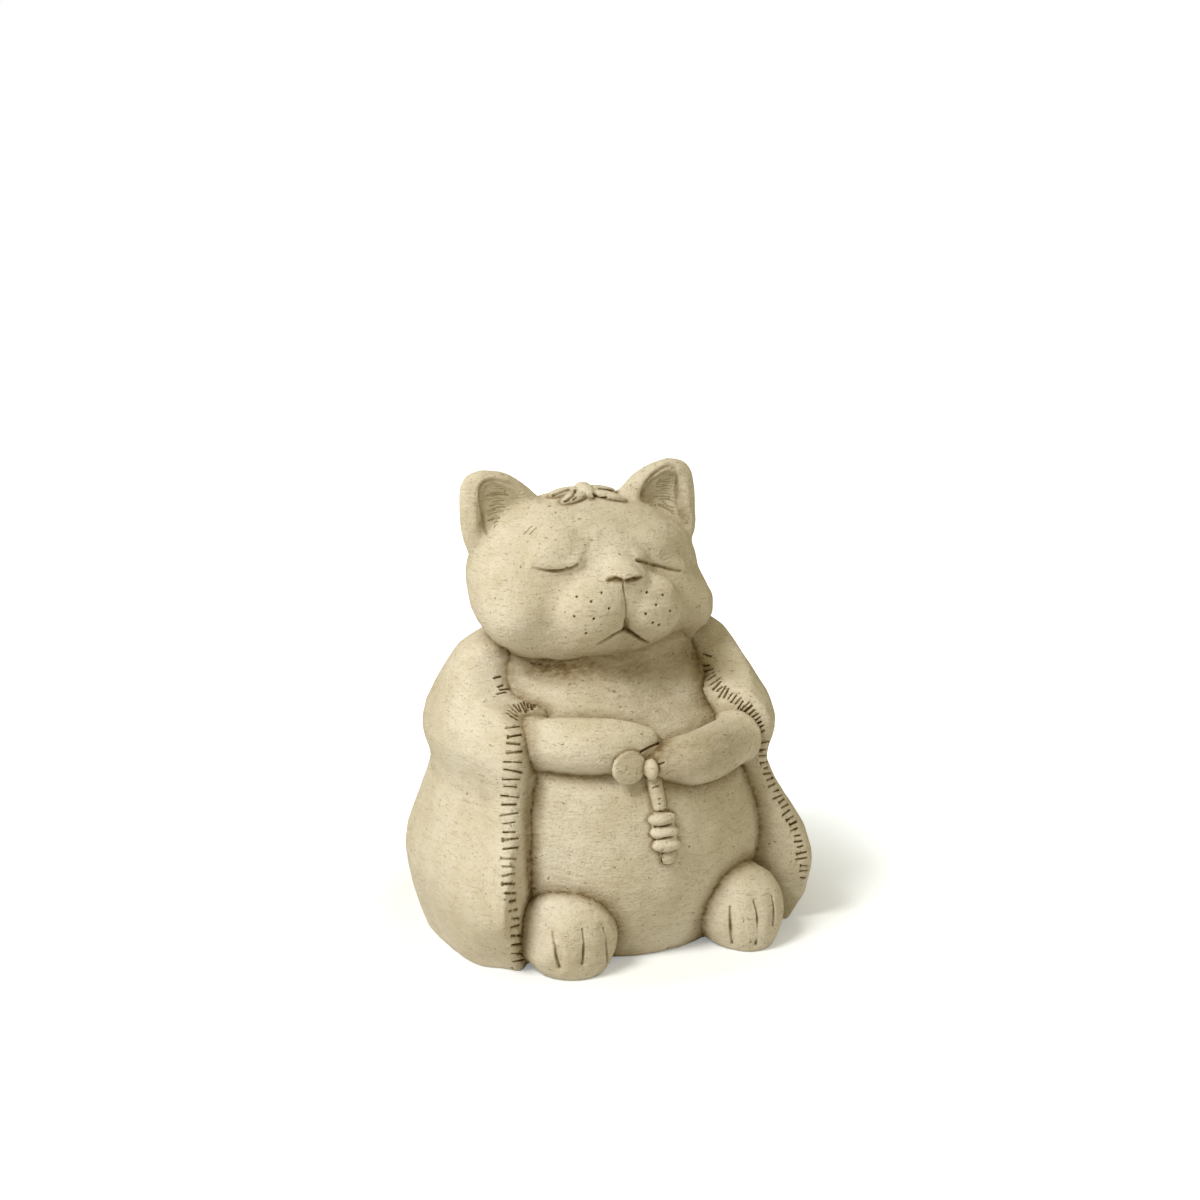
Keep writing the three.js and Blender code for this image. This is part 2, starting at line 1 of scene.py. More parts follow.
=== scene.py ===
# %% [markdown]
# Cat garden statue in cast stone
#
# The statue is one casting from a clay master: a plump cat that sits with closed eyes, wrapped in a robe
# with a stitched hem. Every form is soft and hand-rolled, with no true straight or circle to measure by. The
# solids of the frame already hold the main masses. This lesson copies them, melts each one into a soft skin,
# wipes the skins into each other, carves them with the marks of the maker's tools, and stains the carving the
# way a brown wash settles in the hollows. The same brown also darkens some places as painted shade.

# %% Load the frame
import itertools
import math
import random
from collections import namedtuple

import bmesh
import bpy
import numpy as np
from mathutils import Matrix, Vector, noise
from mathutils.bvhtree import BVHTree
from mathutils.kdtree import KDTree


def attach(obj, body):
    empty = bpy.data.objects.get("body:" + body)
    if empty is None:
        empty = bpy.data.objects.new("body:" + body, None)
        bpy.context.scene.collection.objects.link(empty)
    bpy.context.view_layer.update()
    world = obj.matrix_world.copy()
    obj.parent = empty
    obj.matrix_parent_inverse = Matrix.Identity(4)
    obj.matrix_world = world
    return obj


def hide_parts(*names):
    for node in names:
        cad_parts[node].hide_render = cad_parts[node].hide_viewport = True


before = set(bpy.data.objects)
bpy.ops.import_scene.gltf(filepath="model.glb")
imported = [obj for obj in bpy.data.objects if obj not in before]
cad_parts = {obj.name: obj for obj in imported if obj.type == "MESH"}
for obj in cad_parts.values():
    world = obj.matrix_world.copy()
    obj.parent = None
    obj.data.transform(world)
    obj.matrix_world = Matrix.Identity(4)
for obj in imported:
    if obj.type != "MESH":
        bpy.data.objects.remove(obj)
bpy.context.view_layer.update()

MM = 0.001
scene = bpy.context.scene

# %% [markdown]
# The camera comes first, because the carved marks are placed by sight: a mark's pixel in the photograph is
# followed along its line of sight until it meets the stone. The camera is aimed without shift, so that one
# known point in the middle of the statue falls on the pixel where the photograph shows it.

# %% Camera
IMAGE = 1200
SENSOR = 36.0
LENS = 84.0
AIM = Vector((0, 0.001, 0.120))
AIM_PIXEL = (593.4, 680.0)
AZIMUTH = math.radians(-26)
ELEVATION = math.radians(17)
DISTANCE = 1.4
AIM_ROUNDS = 30
FOCAL = LENS / SENSOR * IMAGE
UP = Vector((0, 0, 1))

level = math.cos(ELEVATION)
backward = Vector((math.sin(AZIMUTH) * level, -math.cos(AZIMUTH) * level, math.sin(ELEVATION)))
eye = AIM + backward * DISTANCE
forward = -backward
for _ in range(AIM_ROUNDS):
    right = forward.cross(UP).normalized()
    up = right.cross(forward)
    ray = AIM - eye
    shown = (IMAGE / 2 + FOCAL * ray.dot(right) / ray.dot(forward),
             IMAGE / 2 - FOCAL * ray.dot(up) / ray.dot(forward))
    forward -= right * ((AIM_PIXEL[0] - shown[0]) / FOCAL)
    forward += up * ((AIM_PIXEL[1] - shown[1]) / FOCAL)
    forward.normalize()

camera_data = bpy.data.cameras.new("camera")
camera_data.sensor_width = SENSOR
camera_data.lens = LENS
camera = bpy.data.objects.new("camera", camera_data)
camera.location = eye
camera.rotation_euler = forward.to_track_quat("-Z", "Y").to_euler()
scene.collection.objects.link(camera)
bpy.context.scene.camera = camera
print("camera aims at pixel", [round(x, 2) for x in shown])


def sight(pixel):
    """The direction in which the camera sees a pixel of the photograph."""
    x, y = pixel
    return (forward + right * ((x - IMAGE / 2) / FOCAL) - up * ((y - IMAGE / 2) / FOCAL)).normalized()


def pixels_of(points):
    """The pixels of the photograph at which the camera sees some points."""
    rays = points - np.array(eye)
    depth = rays @ np.array(forward)
    return np.stack([IMAGE / 2 + FOCAL * (rays @ np.array(right)) / depth,
                     IMAGE / 2 - FOCAL * (rays @ np.array(up)) / depth], axis=1)


# %% [markdown]
# A blank is the rough form of a piece before it is carved. In clay it would be a roll or a slab, wiped
# smooth. Here the solids of the group are copied, swollen by a hair so that they overlap, and melted by a
# voxel remesh. Growing the skin and shrinking it again by the same amount fills every inner corner with a
# fillet, as a wet thumb does, and a few rounds of smoothing take off the facets.

# %% Blanks
SEAM = 0.3 * MM
SAME_POINT = 0.001 * MM
FILLET_ROUNDS = 4
SMOOTH_STEP = 0.5


def settle(piece):
    """Bake a piece's modifiers into its mesh."""
    bpy.context.view_layer.update()
    baked = bpy.data.meshes.new_from_object(piece.evaluated_get(bpy.context.evaluated_depsgraph_get()))
    piece.modifiers.clear()
    old = piece.data
    piece.data = baked
    bpy.data.meshes.remove(old)
    baked.name = piece.name
    baked.materials.clear()


def add_remesh(piece, voxel):
    remesh = piece.modifiers.new("melt", "REMESH")
    remesh.mode = "VOXEL"
    remesh.voxel_size = voxel


def add_swell(piece, amount):
    swell = piece.modifiers.new("swell", "DISPLACE")
    swell.strength = amount
    swell.mid_level = 0.0


def add_smooth(piece, rounds):
    smooth = piece.modifiers.new("wipe", "SMOOTH")
    smooth.factor = SMOOTH_STEP
    smooth.iterations = rounds


REPLACED = {}


def blank(name, nodes, voxel, rounds, fillet=0):
    """Melt copies of some solids into one skin. Voxel and fillet are in millimetres."""
    form = bmesh.new()
    for node in nodes:
        form.from_mesh(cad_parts[node].data)
    bmesh.ops.remove_doubles(form, verts=form.verts, dist=SAME_POINT)
    form.normal_update()
    for vert in form.verts:
        vert.co += vert.normal * SEAM
    mesh = bpy.data.meshes.new(name)
    form.to_mesh(mesh)
    form.free()
    piece = bpy.data.objects.new(name, mesh)
    scene.collection.objects.link(piece)
    add_remesh(piece, voxel * MM)
    if fillet:
        add_smooth(piece, FILLET_ROUNDS)
        add_swell(piece, fillet * MM)
        add_remesh(piece, voxel * MM)
        add_smooth(piece, FILLET_ROUNDS)
        add_swell(piece, -fillet * MM)
        add_remesh(piece, voxel * MM)
    add_smooth(piece, rounds)
    settle(piece)
    REPLACED[piece] = nodes
    print(name, "blank:", len(piece.data.vertices), "vertices")
    return piece


print("solids swell by", round(SEAM / MM, 1), "mm")

# %% [markdown]
# The pieces are listed in the order in which the clay was put together: a piece further down the list is
# pressed onto those above it. The head is one mass with the ears, lids, whisker pads, nose and chin worked
# into it.

# %% All the blanks
HEAD_NODES = ["head", "ear_right", "ear_left", "eyelid_right", "eyelid_left", "whisker_pad_right",
              "whisker_pad_left", "nose", "chin"]
MOTH_NODES = ["moth_body", "wing_front_right", "wing_front_left", "wing_rear_right", "wing_rear_left"]
KNOT_NODES = ["knot_upper", "knot_middle", "knot_lower"]

torso = blank("torso_belly_and_neck", ["torso"], voxel=1.6, rounds=12)
head = blank("head_and_ears", HEAD_NODES, voxel=0.9, rounds=7, fillet=4)
foot_right = blank("right_foot", ["foot_right"], voxel=0.8, rounds=6, fillet=2.5)
foot_left = blank("left_foot", ["foot_left"], voxel=0.8, rounds=6, fillet=2.5)
arm_right = blank("right_forearm", ["forearm_right"], voxel=0.9, rounds=10)
arm_left = blank("left_forearm", ["forearm_left"], voxel=0.9, rounds=10)
thumb_pad = blank("right_thumb", ["thumb"], voxel=0.5, rounds=5)
bead = blank("cord_bead", ["sash_bead"], voxel=0.35, rounds=4)
strap = blank("cord_strap", ["sash_strap"], voxel=0.4, rounds=3)
knots = blank("cord_knots", KNOT_NODES, voxel=0.4, rounds=4, fillet=1.6)
fringe = blank("cord_fringe", ["sash_fringe"], voxel=0.35, rounds=3)
moth = blank("moth_on_the_crown", MOTH_NODES, voxel=0.45, rounds=3)
robe = blank("open_robe", ["robe"], voxel=1.6, rounds=6)
PIECES = list(REPLACED)

# %% [markdown]
# A few hand tools do the sculpting. They all work on a piece's vertices at once as arrays, which is quick
# even on a fine mesh. First come the functions that read a skin, write it back, and find where a line of
# sight from the camera meets it.

# %% Reading and writing a skin
def points_of(piece):
    flat = np.empty(len(piece.data.vertices) * 3)
    piece.data.vertices.foreach_get("co", flat)
    return flat.reshape(-1, 3)


def normals_of(piece):
    flat = np.empty(len(piece.data.vertices) * 3)
    piece.data.vertex_normals.foreach_get("vector", flat)
    return flat.reshape(-1, 3)


def put_points(piece, points):
    piece.data.vertices.foreach_set("co", np.ascontiguousarray(points, dtype=np.float64).ravel())
    piece.data.update()


def skin_of(piece):
    """A piece's surface, for finding where a line of sight or a nearby point meets it."""
    form = bmesh.new()
    form.from_mesh(piece.data)
    tree = BVHTree.FromBMesh(form)
    form.free()
    return tree


def all_skins():
    return {piece: skin_of(piece) for piece in PIECES}


def seen(skin, pixels):
    """The points of a skin behind some pixels of the photograph."""
    found = [skin.ray_cast(eye, sight(pixel))[0] for pixel in pixels]
    return np.array([point for point in found if point is not None])


def near_box(points, others, margin):
    """Which points lie within a margin of the box round some others."""
    low = others.min(0) - margin
    high = others.max(0) + margin
    return np.flatnonzero(((points > low) & (points < high)).all(1))


print("largest skin:", max(len(piece.data.vertices) for piece in PIECES), "vertices")

# %% [markdown]
# The thumb moves the skin softly: fully where it presses, and less and less out to its reach. It can press
# at a point, be drawn along a line, or drag the skin near a line in one direction.

# %% Thumb
TINY = 1e-18


def press_share(away, reach):
    """How much of a press is felt at some distances from it."""
    return np.clip(1 - (away / (reach * MM)) ** 2, 0, None)[:, None] ** 2


def travel(line):
    """The length of each step of a line, and how far along it each of its points lies."""
    steps = np.linalg.norm(np.diff(line, axis=0), axis=1)
    return steps, np.concatenate([[0], np.cumsum(steps)])


def nearest_on_line(points, line):
    """The distance from each point to a line, and the share of the line's length at the nearest place."""
    best = np.full(len(points), np.inf)
    place = np.zeros(len(points))
    steps, travelled = travel(line)
    for index, (start, end) in enumerate(zip(line[:-1], line[1:])):
        along = end - start
        share = np.clip((points - start) @ along / max(along @ along, TINY), 0, 1)
        away = np.linalg.norm(points - start - share[:, None] * along, axis=1)
        closer = away < best
        best[closer] = away[closer]
        place[closer] = travelled[index] + share[closer] * steps[index]
    return best, place / max(travelled[-1], TINY)


def stroke(piece, line, width, depth):
    """Draw a thumb along a line: it presses the skin in or, with a negative depth, pulls it out."""
    points = points_of(piece)
    away, _ = nearest_on_line(points, line)
    put_points(piece, points - normals_of(piece) * press_share(away, width) * depth * MM)


def drag(piece, line, reach, move):
    """Pull the skin near a line in one direction. Reach and move are in millimetres."""
    points = points_of(piece)
    away, _ = nearest_on_line(points, line)
    put_points(piece, points + press_share(away, reach) * np.array(move) * MM)


def thumb(piece, centre, reach, move):
    """Pull the skin near a point in one direction."""
    drag(piece, np.array([centre, centre]), reach, move)


print("half way out a press keeps", press_share(np.array([MM]), 2).item())

# %% [markdown]
# Rubbing takes the edge off a form. Each round moves every vertex a part of the way to the mean of its
# neighbours, fully near the line and less and less further out.

# %% Rubbing
RUB_CORE = 1.3
RUB_PRESSURE = 0.7


def rubbed(piece, share, rounds):
    """A piece's points after rounds that move each a share of the way to its neighbours' mean."""
    points = points_of(piece)
    count = len(points)
    pairs = np.empty(len(piece.data.edges) * 2, dtype=np.int64)
    piece.data.edges.foreach_get("vertices", pairs)
    first, second = pairs.reshape(-1, 2).T
    links = np.bincount(pairs, minlength=count)[:, None]
    for _ in range(rounds):
        sums = [np.bincount(first, column[second], count) + np.bincount(second, column[first], count)
                for column in points.T]
        points = points + share * (np.stack(sums, axis=1) / links - points)
    return points


def soften(piece, line, reach, rounds):
    """Rub the skin near a line until it loses its edges."""
    away, _ = nearest_on_line(points_of(piece), line)
    share = np.clip(RUB_CORE - away / (reach * MM), 0, 1)[:, None] * RUB_PRESSURE
    put_points(piece, rubbed(piece, share, rounds))


print("rubbing fades out at", RUB_CORE, "times its reach")

# %% [markdown]
# A loop tool cuts a groove along a line that is drawn in the photograph's pixels and found on the skin. The
# faces along it are split until they are fine enough, and then the vertices sink. The hand presses harder in
# some places than in others, so a cut can be wide in the middle and run out at its ends.

# %% Lines for the loop tool
EVEN = (1, 1, 1)
TAPER_PLACES = (0, 0.5, 1)
Cut = namedtuple("Cut", "line width depth stain taper", defaults=(EVEN,))
PIT_LENGTH = 0.001 * MM


def rounded(line, step=0.8 * MM):
    """A smooth line through a few points, as a Catmull-Rom curve."""
    padded = np.vstack([2 * line[0] - line[1], line, 2 * line[-1] - line[-2]])
    smooth = []
    for a, b, c, d in zip(padded[:-3], padded[1:-2], padded[2:-1], padded[3:]):
        count = max(2, int(np.linalg.norm(c - b) / step))
        for t in np.arange(count) / count:
            smooth.append(0.5 * (2 * b + (c - a) * t + (2 * a - 5 * b + 4 * c - d) * t ** 2
                                 + (3 * b - a - 3 * c + d) * t ** 3))
    smooth.append(line[-1])
    return np.array(smooth)


def drawn(skin, pixels, width, depth, stain, taper=EVEN):
    """A cut along a line of pixels, where a single pixel makes a pit. The width is half of the whole one. It
    and the depth are in millimetres. The taper is the hand's pressure at the start, middle and end."""
    line = seen(skin, pixels)
    if len(line) == 0:
        return []
    if len(line) == 1:
        line = np.vstack([line, line + PIT_LENGTH])
    return [Cut(rounded(line), width * MM, depth * MM, stain, taper)]


def all_drawn(skin, rows):
    """The cuts of a table whose rows hold the pixels, width, depth, stain and maybe the taper."""
    return [cut for row in rows for cut in drawn(skin, *row)]


print("a cut holds its", ", ".join(Cut._fields))

# %% Loop tool
SPLIT_ROUNDS = 3
SPLIT_REACH = 1.3
SPLIT_MARGIN = 0.2 * MM
SPLIT_EDGE = 0.5
LIGHT_HAND = 0.5
GROOVE_POWER = 1.5
STAIN_REACH = 1.15
CUT_MARGIN = 2
stains_and_painted_shade = {}


def refine(piece, cuts):
    """Split the faces along the cuts until their edges can hold them."""
    samples = [(point, cut.width) for cut in cuts for point in cut.line]
    tree = KDTree(len(samples))
    for index, (point, width) in enumerate(samples):
        tree.insert(point, index)
    tree.balance()
    form = bmesh.new()
    form.from_mesh(piece.data)
    for _ in range(SPLIT_ROUNDS):
        coarse = []
        for edge in form.edges:
            middle = (edge.verts[0].co + edge.verts[1].co) / 2
            _, index, away = tree.find(middle)
            width = samples[index][1]
            near = away < SPLIT_REACH * width + SPLIT_MARGIN
            if near and edge.calc_length() > SPLIT_EDGE * width:
                coarse.append(edge)
        bmesh.ops.subdivide_edges(form, edges=coarse, cuts=1, use_grid_fill=True)
        bmesh.ops.triangulate(form, faces=[face for face in form.faces if len(face.verts) > 4])
    form.to_mesh(piece.data)
    form.free()


def carve(piece, cuts):
    """Make the cuts, and keep how much stain each vertex takes."""
    if cuts:
        refine(piece, cuts)
    points = points_of(piece)
    sunk = np.zeros(len(points))
    stained = np.zeros(len(points))
    for cut in cuts:
        near = near_box(points, cut.line, CUT_MARGIN * cut.width)
        away, place = nearest_on_line(points[near], cut.line)
        press = np.interp(place, TAPER_PLACES, cut.taper)
        away /= cut.width * (LIGHT_HAND + (1 - LIGHT_HAND) * press)
        groove = np.clip(1 - away ** 2, 0, None) ** GROOVE_POWER * cut.depth * press
        sunk[near] = np.maximum(sunk[near], groove)
        stained[near] = np.maximum(stained[near], np.clip(STAIN_REACH - away, 0, 1) * cut.stain * press)
    put_points(piece, points - normals_of(piece) * sunk[:, None])
    stains_and_painted_shade[piece] = stained
    print(piece.name, "carved:", len(cuts), "cuts,", len(points), "vertices")


def carve_lines(piece, lines, **tool):
    """Carve several lines of pixels into a piece with one tool."""
    skin = skin_of(piece)
    carve(piece, [cut for pixels in lines for cut in drawn(skin, pixels, **tool)])


print("faces along a cut are split up to", SPLIT_ROUNDS, "times")

# %% [markdown]
# Before the pieces are joined, the thumb corrects the blanks where the photograph shows a fuller or a leaner
# form: a rounder belly on the left, an elbow that dives into its sleeve, a paw that reaches the other one,
# a forehead that slopes back, and hem corners that curl back from the ground.

# %% Correcting the blanks
BELLY_SIDE = (745, 822)
CHEST_LEFT = (686, 700)
CHEST_MIDDLE = (605, 705)
ELBOW = (742, 748)
PAW_TIP = (657, 757)
EAR_ROOT = (684, 538)
CHEEK_DIP = (702, 570)
FOREHEAD = (602, 508)
FOOT_SIDE = (532, 932)
HEM_HOLLOW = (526, 805)
HEM_WAVE = (524, 855)
NEAR_GROUND = 6 * MM
RIGHT, LEFT = -1, 1
THUMB_SCALE = (1.06, 0.8, 1.06)
THUMB_SHIFT = np.array((0, -0.8, -1.9)) * MM

PRESSES = [
    (torso, BELLY_SIDE, 38, (6, -1.5, 0)),
    (torso, CHEST_LEFT, 36, (0, 6, 0)),
    (torso, CHEST_MIDDLE, 32, (0, -3, 0)),
    (arm_left, ELBOW, 32, (4, 8, 0)),
    (arm_left, PAW_TIP, 15, (-6.5, -1, -0.5)),
    (head, EAR_ROOT, 18, (4, 1, 0)),
    (head, CHEEK_DIP, 14, (-5, 0, 0)),
    (foot_right, FOOT_SIDE, 18, (4, 2, 0)),
    (robe, HEM_HOLLOW, 26, (-3, 0, 0)),
    (robe, HEM_WAVE, 13, (-2.5, 0, 0)),
]
CORNERS = [
    (foot_right, RIGHT, 30, (0, 5.5, 0)),
    (robe, RIGHT, 26, (6, 5, 0)),
    (robe, LEFT, 24, (4, 7, 0)),
]


def low_corner(piece, side):
    """The foremost point of a piece near the ground, on one side."""
    points = points_of(piece)
    low = points[(points[:, 2] < NEAR_GROUND) & (points[:, 0] * side > 0)]
    return low[low[:, 1].argmin()]


for piece, pixel, reach, move in PRESSES:
    for point in seen(skin_of(piece), [pixel]):
        thumb(piece, point, reach, move)
for point in seen(skin_of(head), [FOREHEAD]):
    for piece in (head, moth):
        thumb(piece, point, reach=30, move=(0, 4.5, 0))
for piece, side, reach, move in CORNERS:
    thumb(piece, low_corner(piece, side), reach, move)

points = points_of(thumb_pad)
centre = points.mean(0)
put_points(thumb_pad, centre + (points - centre) * THUMB_SCALE + THUMB_SHIFT)
print("corrected", len(PRESSES) + len(CORNERS), "places, the forehead and the thumb")

# %% [markdown]
# Clay members are scored and pressed together, and then the joint is wiped. So the rim of each piece first
# sinks into the pieces it sits on. Then both sides of the joint rise a little near each other, which is what
# a smooth blend of two distances gives, and the sharp crease becomes a soft one.

# %% Pressing the pieces together
SINK_REACH = 2.0 * MM
SINK_DEPTH = 3.0 * MM


def clearance(piece, other, skin, reach):
    """How far each vertex stands off another piece, up to a reach, with that piece's facing there."""
    points = points_of(piece)
    away = np.full(len(points), reach)
    facing = np.zeros((len(points), 3))
    for index in near_box(points, points_of(other), reach):
        point = Vector(points[index])
        found, out, _, gap = skin.find_nearest(point, reach)
        if found is not None:
            away[index] = gap if (point - found).dot(out) > 0 else 0
            facing[index] = out
    return away, facing


def sink(piece, others, skins):
    """Push a piece's rim into the pieces it was pressed onto."""
    move = np.zeros((len(piece.data.vertices), 3))
    for other in others:
        away, facing = clearance(piece, other, skins[other], SINK_REACH)
        share = 1 - away / SINK_REACH
        move -= facing * (share * SINK_DEPTH)[:, None]
    put_points(piece, points_of(piece) + move)


skins = all_skins()
for order, piece in enumerate(PIECES):
    sink(piece, PIECES[:order], skins)
print("rims sunk by up to", round(SINK_DEPTH / MM), "mm a neighbour")

# %% Wiping the joints
WIPE = {frozenset((head, torso)): 10,
        frozenset((robe, torso)): 5,
        frozenset((robe, head)): 6,
        frozenset((robe, arm_left)): 8,
        frozenset((robe, arm_right)): 4}
WIPE_ELSEWHERE = 2.5
WIPE_SMALL = 0.8
WIPE_ROUNDS = 8
SMALL = [thumb_pad, bead, strap, knots, fringe, moth]


def at_joint(piece, other, table, small, elsewhere):
    """What a table says for the joint of two pieces."""
    if piece in SMALL or other in SMALL:
        return small
    return table.get(frozenset((piece, other)), elsewhere)


def wipe(piece, skins):
    """How far each vertex rises to blend the piece into its neighbours."""
    normals = normals_of(piece)
    rise = np.zeros(len(normals))
    for other in PIECES:
        if other is piece:
            continue
        reach = at_joint(piece, other, WIPE, WIPE_SMALL, WIPE_ELSEWHERE) * MM
        away, facing = clearance(piece, other, skins[other], reach)
        alike = (facing * normals).sum(1)
        lift = np.zeros(len(normals))
        for _ in range(WIPE_ROUNDS):
            blend = np.clip(reach - np.abs(lift - away - lift * alike), 0, None) ** 2 / (4 * reach)
            lift = (lift + blend) / 2
        rise = np.maximum(rise, np.where(away < reach, lift, 0))
    return rise


skins = all_skins()
rises = {piece: wipe(piece, skins) for piece in PIECES}
for piece, rise in rises.items():
    put_points(piece, points_of(piece) + normals_of(piece) * rise[:, None])
print("joints wiped, highest fillet in mm", round(max(rise.max() for rise in rises.values()) / MM, 2))

# %% [markdown]
# No hand-built surface is even. A slow noise moves every large skin in and out by a fraction of a millimetre,
# and a quicker one leaves the small dents of fingers.

# %% Hand-made unevenness
SLOW_DENTS = (16, 0.5)
QUICK_DENTS = (6, 0.16)
SMALL_SHARE = 0.4


def make_uneven(piece, share):
    """Dent a skin by two noises, each with a length and a height in millimetres."""
    points = points_of(piece)
    shift = np.zeros(len(points))
    for length, height in (SLOW_DENTS, QUICK_DENTS):
        shift += [share * height * MM * noise.noise(Vector(point) / (length * MM)) for point in points]
    put_points(piece, points + normals_of(piece) * shift[:, None])


for piece in PIECES:
    make_uneven(piece, SMALL_SHARE if piece in SMALL else 1.0)
print("dented", len(PIECES), "pieces")

# %% [markdown]
# The face is asleep: two closed lids, a wedge of a nose over two whisker pads, and a mouth like a small roof.
# The thumb strokes come first, to draw out the bridge, the nose and the edges of the lids. The slits, the
# mouth and the whisker holes are cut afterwards.

# %% Face strokes
EYE_RIGHT = [(533, 568), (541, 570), (551, 571.5), (561, 571), (570, 569), (578, 565)]
EYE_LEFT = [(637, 560.5), (645, 562.5), (655, 565.5), (665, 568), (673, 570), (681, 571)]
LID_TOP_RIGHT = [(528, 545), (540, 532), (558, 523), (575, 522), (588, 528)]
LID_TOP_LEFT = [(638, 528), (655, 529), (672, 537), (686, 550)]
INNER_BROW_RIGHT = [(576, 566), (584, 556), (590, 545), (591, 535), (587, 527)]
INNER_BROW_LEFT = [(640, 553), (639, 545), (639, 536), (642, 527)]
BROW = [(555, 519), (590, 520), (615, 521), (645, 520), (668, 525)]
CHIN_SIDE = [(588, 649), (600, 656), (614, 661)]
JAW_RIGHT = [(560, 649), (585, 653), (610, 654)]
JAW_LEFT = [(646, 649), (662, 641), (678, 632)]
JAW_GAP_LEFT = [(640, 648), (650, 645), (661, 641)]
JAW_GAP_RIGHT = [(584, 651), (591, 653), (597, 654)]
CHIN_FOOT = [(596, 657), (612, 659), (630, 657), (650, 649)]
LID_CROWN_LEFT = [(641, 524), (655, 527), (670, 534)]
PAD_SIDE_RIGHT = [(562, 586), (554, 604), (552, 621), (556, 640)]
PAD_SIDE_LEFT = [(677, 573), (681, 585), (683, 600), (682, 617), (677, 631)]
PAD_FOOT_LEFT = [(645, 650), (665, 643), (685, 632)]
UNDER_NOSE_LEFT = [(641, 586), (655, 586), (668, 588)]
CHIN = (628, 653)
JAW = [(505, 640), (530, 652), (560, 659), (600, 662), (640, 661), (675, 652), (700, 636)]
LIP_CLEFT = [(626, 606), (626, 616), (625.5, 628)]
LID_OVER_SLIT = 4.5

skin = skin_of(head)
for lid in (LID_TOP_RIGHT, LID_TOP_LEFT):
    soften(head, seen(skin, lid), reach=7.0, rounds=60)
soften(head, seen(skin, PAD_SIDE_RIGHT), reach=6.0, rounds=60)
stroke(head, seen(skin, PAD_SIDE_LEFT), width=11, depth=-3.5)
soften(head, seen(skin, PAD_SIDE_LEFT), reach=13, rounds=300)
soften(head, seen(skin, PAD_FOOT_LEFT), reach=10, rounds=200)
thumb(head, seen(skin, [CHIN])[0], reach=17, move=(0, 3.5, -1.5))
soften(head, seen(skin, JAW), reach=12, rounds=160)
for slit in (EYE_RIGHT, EYE_LEFT):
    lid_edge = [(x, y - LID_OVER_SLIT) for x, y in slit]
    stroke(head, seen(skin, lid_edge), width=5, depth=-1.2)
for lid in (LID_TOP_RIGHT, LID_TOP_LEFT):
    stroke(head, seen(skin, lid), width=6, depth=0.8)
stroke(head, seen(skin, INNER_BROW_RIGHT), width=7, depth=-0.8)
stroke(head, seen(skin, INNER_BROW_LEFT), width=8, depth=-1)
stroke(head, seen(skin, BROW), width=20, depth=-2.5)
soften(head, seen(skin, CHIN_SIDE), reach=9, rounds=150)
drag(head, seen(skin, JAW_RIGHT), reach=12, move=(0, 0.5, -3.5))
drag(head, seen(skin, JAW_LEFT), reach=10, move=(0, 0, -3))
skin = skin_of(head)
drag(head, seen(skin, JAW_GAP_LEFT), reach=8, move=(0, 0, -3.5))
drag(head, seen(skin, JAW_GAP_RIGHT), reach=7, move=(0, 0, -2))
soften(head, seen(skin_of(head), CHIN_FOOT), reach=10, rounds=120)
soften(head, seen(skin, LID_CROWN_LEFT), reach=8, rounds=100)
stroke(head, seen(skin, UNDER_NOSE_LEFT), width=8, depth=-2.2)
stroke(head, seen(skin, LIP_CLEFT), width=4.5, depth=1)
print("face pressed and rubbed,", len(head.data.vertices), "vertices")

# %% [markdown]
# The nose is a wedge: its two sides meet in a ridge that runs down from between the eyes, and it ends in a
# sharp lower edge over the nostrils. A round tool can't make that, so the skin is lifted as a tent that is
# described in the photograph's pixels. The faces along the lower edge are split first.

# %% Nose
NOSE_TOP = (613, 545)
NOSE_END = (626, 575)
NOSE_HALF_TOP = 7
NOSE_HALF_END = (25, 21)
NOSE_LIFT = 4.0 * MM
NOSE_EDGE = [(602, 578), (612, 577), (624, 578), (636, 577), (647, 576)]
EDGE_FALL = 0.3
NOSE_EDGE_WIDTH = 3.0
RIDGE_POWER = 1.2
SLOPE_POWER = 1.3

skin = skin_of(head)
refine(head, drawn(skin, NOSE_EDGE, NOSE_EDGE_WIDTH, 0, 0))
points = points_of(head)
pixels = pixels_of(points)
down = (pixels[:, 1] - NOSE_TOP[1]) / (NOSE_END[1] - NOSE_TOP[1])
ridge = NOSE_TOP[0] + down * (NOSE_END[0] - NOSE_TOP[0])
aside = pixels[:, 0] - ridge
half = NOSE_HALF_TOP + down * (np.where(aside < 0, *NOSE_HALF_END) - NOSE_HALF_TOP)
tent = np.clip(1 - np.abs(aside / np.maximum(half, 1)) ** RIDGE_POWER, 0, 1)
rise = np.where(down < 1, np.clip(down, 0, 1) ** SLOPE_POWER,
                np.clip(1 - (down - 1) / EDGE_FALL, 0, 1))
front = (normals_of(head) @ np.array(backward) > 0) & (points[:, 1] < 0)
lift = NOSE_LIFT * tent * rise * front
put_points(head, points + lift[:, None] * (0, -1, 0))
print("nose lifted by up to", round(lift.max() / MM, 1), "mm")

# %% [markdown]
# Now the face is cut: the two slits of the eyes, the nostrils under the wedge, the line down to the mouth,
# the mouth itself and the pricked holes of the whiskers. The cuts of the head are collected and made at once,
# after those of the ears.

